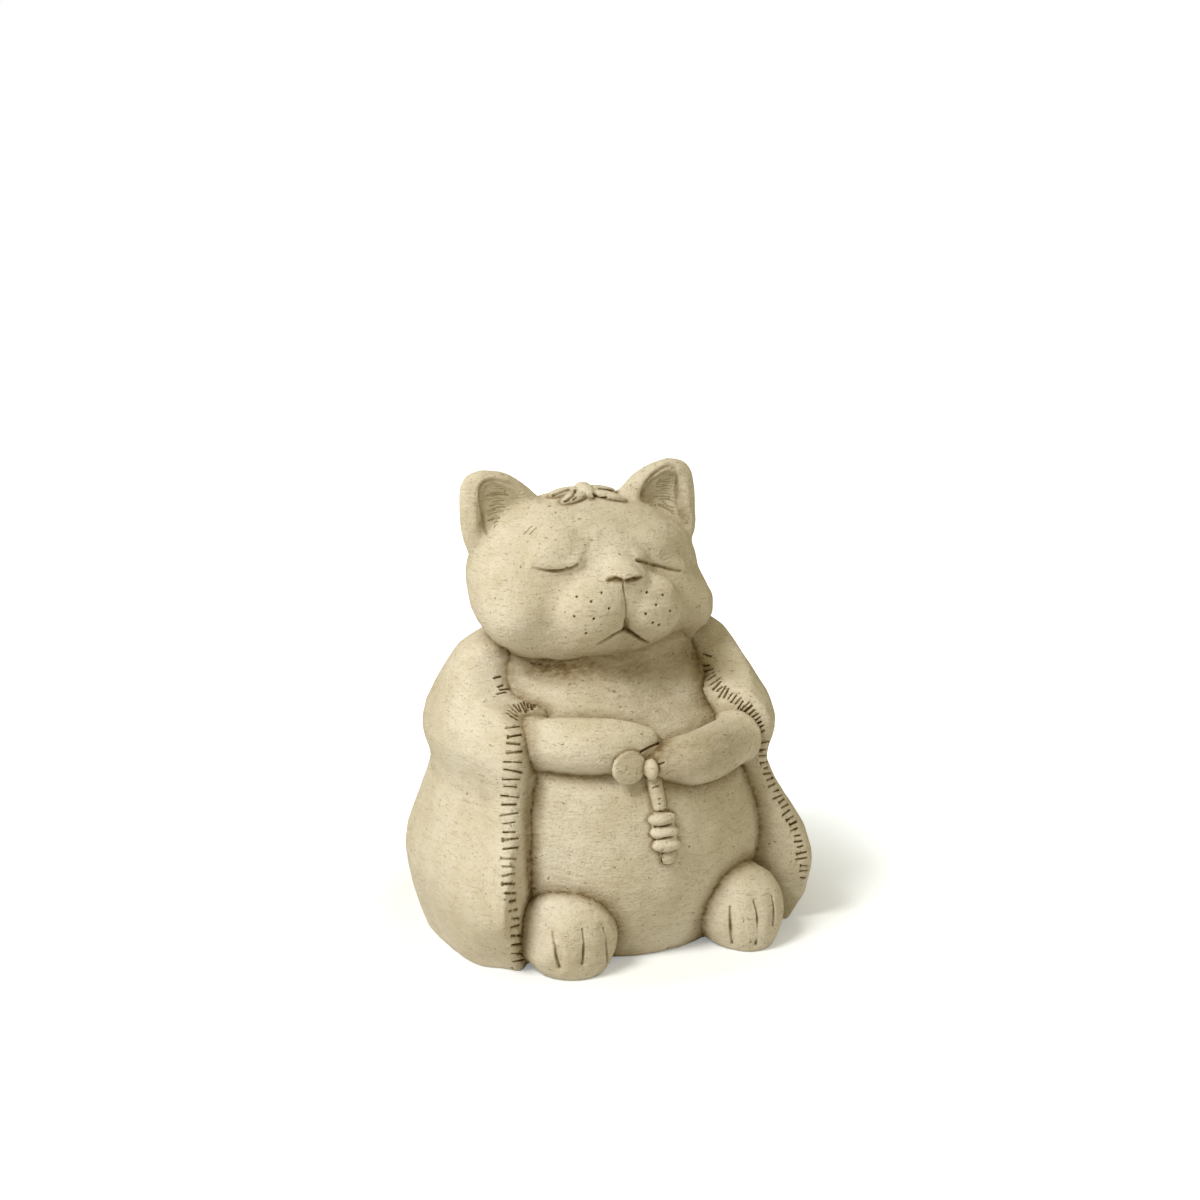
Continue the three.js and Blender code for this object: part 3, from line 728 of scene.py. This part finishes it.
# %% Face cuts
LID_EDGE_RIGHT = [(588, 528), (591.5, 538), (589, 547), (583, 557), (578, 565)]
NOSTRIL_RIGHT = [(608.5, 580), (614, 579), (620.5, 581)]
NOSTRIL_LEFT = [(627, 581), (633, 579.5), (641, 578)]
NOSE_CREASE = [(598, 581), (605, 581.5)]
PHILTRUM = [(623.5, 582), (624, 590), (625.5, 598), (626.3, 607), (626, 616), (625.7, 627)]
MOUTH_RIGHT = [(626, 629.5), (619, 632.5), (611, 637), (604, 641), (597.5, 644.5)]
MOUTH_LEFT = [(626.5, 629.5), (633, 634), (641, 639.5), (649, 643)]
LIP_HOLLOW = [(625.7, 621), (626, 629)]
BROW_NICKS = [[(524, 534), (532, 526)], [(530, 534), (536, 528)]]
WHISKERS = [(576.5, 596.5), (602, 592.5), (591.5, 601.5), (609.5, 608.5), (574, 616.5), (594, 619),
            (586, 633.5), (647, 592.5), (663, 595), (656.5, 605), (670.5, 611), (646, 614), (659, 625),
            (653, 623)]

FACE_CUTS = [
    (EYE_RIGHT, 1.3, 1.7, 0.46, (0.35, 1, 0.8)),
    (EYE_LEFT, 1.25, 1.6, 0.52, (1, 0.8, 0.5)),
    (LID_EDGE_RIGHT, 1.8, 0.3, 0.04, (0.2, 1, 0.8)),
    (NOSTRIL_RIGHT, 2.0, 2.1, 0.9, (0.6, 1, 0.8)),
    (NOSTRIL_LEFT, 1.8, 2.1, 0.85, (0.8, 1, 0.4)),
    (NOSE_CREASE, 0.6, 0.5, 0.35, (0.3, 1, 0.5)),
    (PHILTRUM, 0.8, 1.2, 0.36, (1, 0.6, 0.9)),
    (MOUTH_RIGHT, 1.5, 2.2, 0.75, (0.9, 1, 0.4)),
    (MOUTH_LEFT, 1.35, 2.0, 0.65, (0.9, 0.8, 0.35)),
    (LIP_HOLLOW, 2.2, 1.2, 0.36),
]
FACE_CUTS += [(nick, 0.5, 0.35, 0.4) for nick in BROW_NICKS]
FACE_CUTS += [([hole], 0.8, 1.5, 0.95) for hole in WHISKERS]

skin = skin_of(head)
head_cuts = all_drawn(skin, FACE_CUTS)
print("face:", len(head_cuts), "cuts to make")

# %% [markdown]
# Each ear is a thick leaf with a hollow front. The hollow was combed across with a toothed tool, which left
# bowed lines that hold the wash.

# %% Ears
EAR_COMBS = [
    (((486, 487), (509, 487)), ((489, 527), (500, 524)), 14),
    (((655, 477), (674, 474)), ((658, 508), (676, 514)), 16),
]
EAR_RIM_RIGHT = [(487.4, 534), (483, 517), (480, 497), (482, 486), (490, 481), (506, 483), (521, 491)]
EAR_RIM_LEFT = [(641, 494), (647, 483), (658, 472), (669, 466), (675, 468)]
EAR_RIM_LEFT_OUTER = [(675, 468), (677, 477), (676.5, 489), (677, 503), (683, 520)]
# The stain of the rim cuts is partly painted shadow that each rim casts into its hollow, and partly wash in
# the groove.
EAR_CUTS = [
    (EAR_RIM_RIGHT, 1.8, 1.3, 0.34, (0.5, 1, 0.3)),
    (EAR_RIM_LEFT, 2.2, 1.6, 0.45, (0.6, 1, 0.7)),
    (EAR_RIM_LEFT_OUTER, 1.4, 1.0, 0.34, (0.7, 1, 0.3)),
]
COMB_START = (-2, 6)
COMB_END = (-7, 2)
COMB_WANDER = (-0.9, 0.9)
COMB_BOW = (0.3, 1.4)
COMB_WIDTH = (0.35, 0.55)
COMB_DEPTH = (0.25, 0.5)
COMB_STAIN = (0.1, 0.4)
COMB_SEED = 3


def comb(skin, first, last, count, rng):
    """Bowed lines from a first one to a last one, each given by the pixels of its ends."""
    cuts = []
    for share in np.linspace(0, 1, count):
        start, end = (np.array(a) * (1 - share) + np.array(b) * share for a, b in zip(first, last))
        start = start + (rng.uniform(*COMB_START), rng.uniform(*COMB_WANDER))
        end = end + (rng.uniform(*COMB_END), rng.uniform(*COMB_WANDER))
        middle = (start + end) / 2 - (0, rng.uniform(*COMB_BOW))
        width = rng.uniform(*COMB_WIDTH)
        depth = rng.uniform(*COMB_DEPTH)
        stain = rng.uniform(*COMB_STAIN)
        cuts += drawn(skin, [start, middle, end], width, depth, stain)
    return cuts


rng = random.Random(COMB_SEED)
for first, last, count in EAR_COMBS:
    head_cuts += comb(skin, first, last, count, rng)
head_cuts += all_drawn(skin, EAR_CUTS)
carve(head, head_cuts)

# %% [markdown]
# Under the chin a thumb was drawn round the neck, which leaves a hollow that painted shade and the wash
# darken later.

# %% Neck
NECK = [(535, 668), (575, 679), (620, 683), (665, 677), (692, 660)]
stroke(torso, seen(skin_of(torso), NECK), width=17, depth=4)
print("neck pressed in under the chin")

# %% [markdown]
# The paws and feet are simple rolls. Three cuts part the toes of each foot, each in a shallow valley of its
# own. The thumb of the right paw is a disc that was stuck on, so it gets a flat front. Where the paws meet,
# two short folds are cut across both.

# %% Feet
TOES = {
    foot_right: [[(552, 932), (555, 950), (559.5, 968)], [(582.5, 929), (584, 949), (582.5, 964)],
                 [(603.5, 928), (606.5, 947), (607.5, 962)]],
    foot_left: [[(730, 907), (730.5, 926), (732, 944)], [(754, 901), (757.5, 916), (756, 944)],
                [(772, 896), (774, 910), (773, 925)]],
}
for foot, toes in TOES.items():
    for toe in toes:
        stroke(foot, seen(skin_of(foot), toe), width=5, depth=0.7)
    carve_lines(foot, toes, width=0.95, depth=1.6, stain=0.42, taper=(0.6, 1, 0.9))

# %% Forearms and thumb
THUMB_FACE = 2.5 * MM
THUMB_FLATNESS = 0.35
ARM_TOP = [(672, 736), (695, 726), (722, 720)]
PAW_FOLDS = [[(641, 752), (650, 747), (659, 743)], [(656, 766), (664, 763)]]

points = points_of(thumb_pad)
front = points[:, 1].min() + THUMB_FACE
flat = front + (points[:, 1] - front) * THUMB_FLATNESS
points[:, 1] = np.where(points[:, 1] < front, flat, points[:, 1])
put_points(thumb_pad, points)

stroke(arm_left, seen(skin_of(arm_left), ARM_TOP), width=9, depth=2)
for arm in (arm_right, arm_left):
    carve_lines(arm, PAW_FOLDS, width=0.8, depth=1.1, stain=0.6)

# %% [markdown]
# The robe's front edges are overcast with short stitches, pressed in with the edge of a tool. Each hem is a
# line of pixels in the photograph, and the stitches cross it at an even step with a little unsteadiness of
# the hand. At the sleeve the stitches turn with the edge and lie closer.

# %% Hems
HEM_RIGHT = [(514, 723), (514, 745), (513, 767), (510, 790), (509, 830), (510, 868), (513, 905), (517, 940),
             (519, 962)]
SLEEVE_RIGHT = [(511, 717), (514, 711), (520, 707), (528, 705), (537, 704)]
SLEEVE_LEFT = [(707, 668), (713, 681), (721, 691), (731, 698), (741, 705), (750, 714), (757, 724), (762, 736)]
HEM_LEFT = [(763, 740), (765, 755), (768, 772), (774, 788), (783, 803), (792, 820), (798, 836), (802, 854),
            (803, 872), (802, 884)]
EDGE_RIGHT = [(523, 716), (524, 745), (522, 790), (519, 830), (520, 868), (523, 905), (526, 935)]
COLLAR_RIGHT = [(478, 655), (488, 672), (497, 695)]

skin = skin_of(robe)
soften(robe, seen(skin, EDGE_RIGHT), reach=8.0, rounds=100)
soften(robe, seen(skin, HEM_LEFT), reach=8.0, rounds=110)
soften(robe, seen(skin, SLEEVE_LEFT), reach=6.0, rounds=20)
soften(robe, seen(skin, COLLAR_RIGHT), reach=10.0, rounds=60)
print("hems rubbed soft")

# %% Stitching tool
STITCH_REACH = 6 * MM
STITCH_SAMPLES = 8
STITCH_SHIFT = (-0.12, 0.12)
STITCH_SLANT = (-0.18, 0.12)
STITCH_PLAY = (-2.5, 2)
STITCH_WIDTH = (0.7, 1.3)
STITCH_DEPTH = (0.6, 1.2)
STITCH_STAIN = (0.5, 1)
WHOLE_DAB = [(0, 1)]
SPLIT_DAB = [(0, 0.4), (0.52, 1)]
SPLIT_CHANCE = 0.45
TICK_CHANCE = 0.25
LOOK_AHEAD = 6


def along(line, step):
    """Points at an even step along a line of pixels, each with the line's direction there."""
    line = np.array(line, dtype=float)
    _, travelled = travel(line)
    for way in np.arange(step / 2, travelled[-1], step):
        place, ahead, behind = (np.array([np.interp(w, travelled, axis) for axis in line.T])
                                for w in (way, way + LOOK_AHEAD, way - LOOK_AHEAD))
        yield place, (ahead - behind) / np.linalg.norm(ahead - behind)


def stitches(skin, hem, step, inward, outward, width, rng):
    """Cuts across a hem. The step along it and the way in and out are in pixels."""
    cuts = []
    for place, way in along(hem, step):
        place = place + way * rng.uniform(*STITCH_SHIFT) * step
        across = np.array([way[1], -way[0]]) + way * rng.uniform(*STITCH_SLANT)
        start = place - across * (inward + rng.uniform(*STITCH_PLAY))
        end = place + across * (outward + rng.uniform(*STITCH_PLAY))
        dabs = SPLIT_DAB if rng.random() < SPLIT_CHANCE else WHOLE_DAB
        marks = [(start + (end - start) * a, start + (end - start) * b) for a, b in dabs]
        if rng.random() < TICK_CHANCE:
            marks.append((start - way, start + way))
        for hem_point, (a, b) in itertools.product(seen(skin, [place]), marks):
            line = seen(skin, [a * (1 - t) + b * t for t in np.linspace(0, 1, STITCH_SAMPLES)])
            line = line[np.linalg.norm(line - hem_point, axis=1) < STITCH_REACH]
            if len(line) > 2:
                cuts.append(Cut(line, rng.uniform(*STITCH_WIDTH) * width * MM,
                                rng.uniform(*STITCH_DEPTH) * MM, rng.uniform(*STITCH_STAIN)))
    return cuts


print("a stitch stays within", round(STITCH_REACH / MM), "mm of its hem")

# %% Stitches
HEMS = [
    (HEM_RIGHT, 8.7, 8, 8, 0.75),
    (SLEEVE_RIGHT, 3.0, 5, 6, 0.75),
    (SLEEVE_LEFT, 4.4, 5, 6, 0.65),
    (HEM_LEFT, 6.2, 4, 4.5, 0.65),
]
COLLAR_STITCHES = [[(494, 678), (501, 676.5)], [(498, 687), (503, 685)], [(497, 694), (506, 692)],
                   [(500, 690), (508, 689)], [(704, 654), (711, 656)], [(704, 666), (709, 665)]]
STITCH_SEED = 7

skin = skin_of(robe)
rng = random.Random(STITCH_SEED)
robe_cuts = [cut for hem in HEMS for cut in stitches(skin, *hem, rng)]
for pixels in COLLAR_STITCHES:
    robe_cuts += drawn(skin, pixels, width=0.6, depth=0.9, stain=0.9)
carve(robe, robe_cuts)

# %% [markdown]
# The knotted cord is a strap with notches, three flat rings and a ragged fringe. The moth on the crown is
# rough: its wings were dug out with a point.

# %% Cord and moth marks
STRAP_NOTCHES = [[(653, 788), (658, 786)], [(650, 801), (660, 799)], [(650, 806), (660, 804)],
                 [(652, 813), (660, 811)]]
KNOT_GROOVES = [[(645, 825), (654, 827), (664, 826.5), (672, 824)],
                [(645, 838), (654, 839.5), (664, 838.5), (673, 836.5)]]
FRINGE_CUTS = [[(653, 852), (653, 862)], [(657, 852), (657.5, 863)], [(662, 852), (662, 862)]]
MOTH_CUTS = [[(553, 495.5), (558, 493), (563, 491), (570, 489)], [(569, 498), (573, 495), (576, 491)],
             [(565, 501), (569, 499)], [(574, 499), (577, 497)], [(594, 494), (597, 498), (600, 501)],
             [(588, 506), (592, 503)], [(600, 489), (607, 490), (613, 491)],
             [(612, 491), (620, 492.5), (628, 495.5)], [(600, 499), (606, 498)], [(605, 503), (610, 502)],
             [(615, 503), (620, 503.5), (625, 506)]]

carve_lines(strap, STRAP_NOTCHES, width=0.7, depth=0.6, stain=0.6)
carve_lines(knots, KNOT_GROOVES, width=0.9, depth=1.2, stain=0.7)
carve_lines(fringe, FRINGE_CUTS, width=0.7, depth=0.8, stain=0.8)
carve_lines(moth, MOTH_CUTS, width=1.1, depth=1.1, stain=0.5)

# %% [markdown]
# The statue stands on its flat base, so whatever the smoothing pushed below the ground comes back up to it.

# %% Flat base
for piece in PIECES:
    points = points_of(piece)
    points[:, 2] = np.maximum(points[:, 2], 0)
    put_points(piece, points)
print("no piece reaches below the ground")

# %% [markdown]
# A brown wash was brushed over the stone and wiped off again, so it stays in the cuts, in hollows, and along
# the creases where two forms meet. The same brown is smudged on first, mostly as painted shade: under the
# chin and along the jaw, on the chest, the left forearm and a cheek, beside the nose, along the ear rims and
# on the hem's inner face, where the statue turns from the lamp or lies in a cast shadow. Under the nose it is
# painted shade over the wash of the nostrils, and along the rings of the knot it only darkens bands.

# %% Smudges
KNOT_TOPS = [[(646, 819), (672, 818)], [(645, 832), (673, 831)], [(647, 845), (673, 844)]]
NOSTRILS = [[(609, 580), (615, 578.5), (621, 580.5)], [(627, 580.5), (634, 579), (641, 577.5)]]
NOSE_SIDE = [(635, 566), (642, 573)]
NEAR_JAW = [(530, 655), (570, 662), (610, 664), (650, 660), (685, 646)]
NEAR_EARS = [[(482, 526), (482, 500), (485, 486), (496, 482), (512, 484)],
             [(642, 494), (652, 479), (671, 467), (677, 484), (684, 520)]]
UNDER_CHIN = [(545, 664), (590, 673), (630, 675), (668, 668), (692, 655)]
NEAR_HEM = [(527, 725), (528, 780), (526, 830), (527, 870), (530, 905)]
ON_CHEST = [(600, 700), (640, 702), (695, 705)]
ON_ARM = [(660, 758), (695, 745), (728, 738)]
ON_CHEEK = [(575, 612), (600, 618)]

# Each row darkens a piece along a line as painted shade, laid over the wash of the nostrils under the nose.
# The knot rows only darken bands along the rings.
SHADE_AND_WASH_SMUDGES = [
    (torso, UNDER_CHIN, 13, 0.2), (torso, ON_CHEST, 26, 0.2), (arm_left, ON_ARM, 22, 0.24),
    (head, ON_CHEEK, 14, 0.08), (head, NEAR_JAW, 9, 0.22), (head, NOSE_SIDE, 4, 0.16),
    (head, NOSTRILS[0], 2.2, 0.8), (head, NOSTRILS[1], 2.0, 0.75),
    (head, NEAR_EARS[0], 3, 0.24), (head, NEAR_EARS[1], 4, 0.36), (robe, NEAR_HEM, 5, 0.3),
]
SHADE_AND_WASH_SMUDGES += [(knots, top, 5, 0.16) for top in KNOT_TOPS]


def paint_shade_and_wash(piece, line, reach, strength):
    """Darken a piece along a line with the brown, thinning out to a reach in millimetres."""
    away, _ = nearest_on_line(points_of(piece), line)
    left = strength * np.clip(1 - away / (reach * MM), 0, 1)
    stains_and_painted_shade[piece] = np.maximum(stains_and_painted_shade.get(piece, 0), left)


for piece, pixels, reach, strength in SHADE_AND_WASH_SMUDGES:
    paint_shade_and_wash(piece, seen(skin_of(piece), pixels), reach, strength)
print(len(SHADE_AND_WASH_SMUDGES), "smudges")

# %% [markdown]
# Each vertex gets its share of wash and painted shade from four causes: the cuts, the smudges, the joints
# near it, and how far it lies below a smoothed copy of its own skin. Most of the smudges are painted shade,
# and the wide band where the head meets the torso is painted shade under the jaw on top of the wash in that
# crease.
# The wash of a joint has a reach in millimetres and a strength. The share is kept as an attribute that the
# material reads.

# %% Wash
# The wide head and torso band is painted shade under the jaw as well as wash in the crease.
CREASE = {frozenset((head, torso)): (17.0, 0.8),
          frozenset((robe, arm_left)): (6.0, 0.6)}
CREASE_ELSEWHERE = (9.0, 1.0)
CREASE_SMALL = (2.5, 1.0)
CREASE_SOFT = (0.5, 1.5)
CREASE_SHARP = (0.06, 6)
HOLLOW_ROUNDS = 40
HOLLOW_STEP = 0.6
HOLLOW_DEPTH = 1.5 * MM
HOLLOW_WASH = 0.26


def hollowness(piece):
    """How far each vertex lies below the smoothed skin."""
    below = rubbed(piece, HOLLOW_STEP, HOLLOW_ROUNDS) - points_of(piece)
    return np.clip((below * normals_of(piece)).sum(1) / HOLLOW_DEPTH, 0, 1)


skins = all_skins()
for piece in PIECES:
    crease = np.zeros(len(piece.data.vertices))
    for other in PIECES:
        if other is not piece:
            reach, strength = at_joint(piece, other, CREASE, CREASE_SMALL, CREASE_ELSEWHERE)
            away, _ = clearance(piece, other, skins[other], reach * MM)
            crease = np.maximum(crease, strength * (1 - away / (reach * MM)))
    # This holds the stains of the cuts and the painted shade and wash of the smudges.
    cut = stains_and_painted_shade.get(piece, np.zeros(len(crease)))
    joint = sum(strength * crease ** power for strength, power in (CREASE_SOFT, CREASE_SHARP))
    wash_and_painted_shade = np.clip(cut + joint + HOLLOW_WASH * hollowness(piece), 0, 1)
    attribute = piece.data.attributes.new("wash_and_painted_shade", "FLOAT", "POINT")
    attribute.data.foreach_set("value", wash_and_painted_shade.astype(np.float32))
    print(piece.name, "wash: mean", round(float(wash_and_painted_shade.mean()), 3))

# %% [markdown]
# Cast stone is a pale tan cement with sand in it. Its colour drifts a little over the surface, the sand shows
# as fine grain, and a stiff brush has left short scratches, most of them level.

# %% Cast stone
STONE_PALE = (0.72, 0.66, 0.535)
STONE_DEEP = (0.63, 0.56, 0.415)
PATINA = (0.47, 0.375, 0.22)
SPECK = (0.20, 0.14, 0.07)
# These two colours are the wash, and painted shade where the smudges and the jaw band put it.
WASH_AND_SHADE_BROWN = (0.25, 0.18, 0.085)
WASH_AND_SHADE_DARK = (0.07, 0.045, 0.02)
WASH_AND_SHADE_LEAST = 0.65
WASH_AND_SHADE_RAGGED = 0.7
SAND_HEIGHT = 0.6
BRUSH_HEIGHT = 0.7
MARK_DEPTH = 0.9
BUMP = 0.7
ROUGHNESS = 0.9
SHEEN = 0.2


def add_node(tree, kind, **values):
    """A shader node with some of its inputs set. An underscore stands for the space in an input's name."""
    node = tree.nodes.new("ShaderNode" + kind)
    for name, value in values.items():
        node.inputs[name.replace("_", " ")].default_value = value
    return node


def cast_stone():
    """The statue's one material."""
    material = bpy.data.materials.new("cast_stone")
    material.use_nodes = True
    tree = material.node_tree
    link = tree.links.new
    shader = tree.nodes["Principled BSDF"]
    shader.inputs["Roughness"].default_value = ROUGHNESS
    shader.inputs["Specular IOR Level"].default_value = SHEEN
    place = add_node(tree, "TexCoord")

    def noise_of(scale, detail, stretch=(1, 1, 1), turn=(0, 0, 0), rough=0.6):
        mapping = add_node(tree, "Mapping", Scale=stretch, Rotation=turn)
        texture = add_node(tree, "TexNoise", Scale=scale, Detail=detail, Roughness=rough)
        link(place.outputs["Object"], mapping.inputs["Vector"])
        link(mapping.outputs["Vector"], texture.inputs["Vector"])
        return texture.outputs["Fac"]

    def spread(value, low, high, top=1.0):
        node = add_node(tree, "MapRange", From_Min=low, From_Max=high, To_Max=top)
        link(value, node.inputs["Value"])
        return node.outputs["Result"]

    def maths(kind, a, b):
        node = add_node(tree, "Math")
        node.operation = kind
        for socket, value in zip(node.inputs, (a, b)):
            if isinstance(value, float):
                socket.default_value = value
            else:
                link(value, socket)
        return node.outputs[0]

    def blend(share, a, b):
        node = add_node(tree, "Mix")
        node.data_type = "RGBA"
        link(share, node.inputs["Factor"])
        colours = [socket for socket in node.inputs if socket.type == "RGBA"]
        for socket, value in zip(colours, (a, b)):
            if isinstance(value, tuple):
                socket.default_value = (*value, 1)
            else:
                link(value, socket)
        return [socket for socket in node.outputs if socket.type == "RGBA"][0]

    drift = spread(noise_of(26, 6, rough=0.65), low=0.38, high=0.62)
    tan = blend(drift, STONE_DEEP, STONE_PALE)
    brush = noise_of(95, 5, stretch=(1, 1, 5), turn=(0.06, 0.04, 0), rough=0.7)
    brushed = spread(brush, low=0.52, high=0.72, top=0.42)
    patchy = spread(noise_of(60, 6, rough=0.7), low=0.55, high=0.75, top=0.35)
    aged = blend(maths("MAXIMUM", brushed, patchy), tan, PATINA)
    grain = spread(noise_of(1300, 2), low=0.58, high=0.78, top=0.4)
    level_noise = noise_of(260, 3, stretch=(1, 1, 9), turn=(0.05, 0, 0))
    level_scratch = spread(level_noise, low=0.655, high=0.70, top=0.6)
    slant_noise = noise_of(230, 3, stretch=(1, 1, 10), turn=(0.5, 0.4, 0))
    slant_scratch = spread(slant_noise, low=0.665, high=0.71, top=0.5)
    pits = spread(noise_of(360, 2), low=0.69, high=0.75, top=0.75)
    scratches = maths("MAXIMUM", level_scratch, slant_scratch)
    marks = maths("MAXIMUM", scratches, maths("MAXIMUM", pits, grain))
    marked = blend(marks, aged, SPECK)

    # This attribute darkens the stone to brown and then near black: wash in cuts, hollows and creases, and
    # painted shade where the smudges and the band under the jaw put it.
    wash_and_painted_shade = add_node(tree, "Attribute")
    wash_and_painted_shade.attribute_name = "wash_and_painted_shade"
    ragged = spread(noise_of(240, 6, stretch=(1, 1, 2), rough=0.7), low=0.3, high=0.7)
    cover = maths("ADD", maths("MULTIPLY", ragged, WASH_AND_SHADE_RAGGED), WASH_AND_SHADE_LEAST)
    uneven = maths("MULTIPLY", wash_and_painted_shade.outputs["Fac"], cover)
    brown = blend(spread(uneven, low=0.02, high=0.62), marked, WASH_AND_SHADE_BROWN)
    # The colour after the wash and the painted shade.
    stained = blend(spread(uneven, low=0.5, high=1.1), brown, WASH_AND_SHADE_DARK)
    link(stained, shader.inputs["Base Color"])

    bump = add_node(tree, "Bump", Distance=MM, Strength=BUMP)
    sand = maths("MULTIPLY", noise_of(600, 3), SAND_HEIGHT)
    brushing = maths("MULTIPLY", noise_of(160, 4, stretch=(1, 1, 4)), BRUSH_HEIGHT)
    height = maths("SUBTRACT", maths("ADD", sand, brushing), maths("MULTIPLY", marks, MARK_DEPTH))
    link(height, bump.inputs["Height"])
    link(bump.outputs["Normal"], shader.inputs["Normal"])
    return material


stone = cast_stone()
print("cast stone:", len(stone.node_tree.nodes), "nodes")

# %% Stone on every piece
for piece, nodes in REPLACED.items():
    piece.data.materials.append(stone)
    for polygon in piece.data.polygons:
        polygon.use_smooth = True
    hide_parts(*nodes)
    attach(piece, "root")
print(len(REPLACED), "pieces in cast stone")

# %% [markdown]
# The photograph was taken on white paper under a large soft light from the left. The floor is matt white. It
# also glows, to the camera alone and more and more away from the statue, so that the paper fades to white
# and a faint shadow stays near the base.

# %% Floor
FLOOR_HALF = 4
FLOOR_PALE = (0.8, 0.8, 0.8)
LIFT_NEAR, LIFT_FAR = 0.1, 0.22
LIFT_LEAST, LIFT_MOST = 0.27, 0.95
LIFT_COLOUR = (0.88, 0.94, 1.0)

paper = bpy.data.materials.new("white_paper")
paper.use_nodes = True
tree = paper.node_tree
tree.nodes.clear()
path = add_node(tree, "LightPath")
matt = add_node(tree, "BsdfDiffuse", Color=(*FLOOR_PALE, 1))
glow = add_node(tree, "Emission", Color=(*LIFT_COLOUR, 1))
place = add_node(tree, "TexCoord")
away = add_node(tree, "VectorMath")
away.operation = "LENGTH"
rising = add_node(tree, "MapRange", From_Min=LIFT_NEAR, From_Max=LIFT_FAR,
                  To_Min=LIFT_LEAST, To_Max=LIFT_MOST)
lift = add_node(tree, "Math")
lift.operation = "MULTIPLY"
both = add_node(tree, "AddShader")
out = add_node(tree, "OutputMaterial")
link = tree.links.new
link(place.outputs["Object"], away.inputs[0])
link(away.outputs["Value"], rising.inputs["Value"])
link(rising.outputs["Result"], lift.inputs[0])
link(path.outputs["Is Camera Ray"], lift.inputs[1])
link(lift.outputs[0], glow.inputs["Strength"])
link(matt.outputs[0], both.inputs[0])
link(glow.outputs[0], both.inputs[1])
link(both.outputs[0], out.inputs["Surface"])

sheet = bmesh.new()
bmesh.ops.create_grid(sheet, x_segments=1, y_segments=1, size=FLOOR_HALF)
floor_mesh = bpy.data.meshes.new("floor")
sheet.to_mesh(floor_mesh)
sheet.free()
floor_mesh.materials.append(paper)
floor = bpy.data.objects.new("floor", floor_mesh)
scene.collection.objects.link(floor)
print("floor", 2 * FLOOR_HALF, "m wide")

# %% [markdown]
# One large lamp stands at the left like a window, and a weak one at the right like a white card. The world
# fills the shadows with warm light, and the camera itself sees it as plain white.

# %% Light
FILL = 0.34
FILL_COLOUR = (1.0, 0.87, 0.45)
BACKDROP = (1, 1, 1)
LIGHT_AIM = Vector((0, 0, 0.1))

world = bpy.data.worlds.new("studio")
world.use_nodes = True
scene.world = world
tree = world.node_tree
fill = tree.nodes["Background"]
fill.inputs["Color"].default_value = (*FILL_COLOUR, 1)
fill.inputs["Strength"].default_value = FILL
white = add_node(tree, "Background", Color=(*BACKDROP, 1))
path = add_node(tree, "LightPath")
choose = add_node(tree, "MixShader")
link = tree.links.new
link(path.outputs["Is Camera Ray"], choose.inputs[0])
link(fill.outputs[0], choose.inputs[1])
link(white.outputs[0], choose.inputs[2])
link(choose.outputs[0], tree.nodes["World Output"].inputs["Surface"])


def soft_light(name, place, size, power):
    """A square lamp that faces the statue. Size is in metres and power in watts."""
    lamp = bpy.data.lights.new(name, "AREA")
    lamp.energy = power
    lamp.size = size
    light = bpy.data.objects.new(name, lamp)
    light.location = place
    light.rotation_euler = (LIGHT_AIM - light.location).to_track_quat("-Z", "Y").to_euler()
    scene.collection.objects.link(light)
    print(name, "shines with", power, "W")


soft_light("window_left", place=Vector((-1.1, -0.38, 1.42)), size=0.6, power=26.5)
soft_light("card_right", place=Vector((1.3, -0.7, 0.6)), size=1.2, power=2.6)
bpy.context.scene.view_settings.view_transform = "Standard"
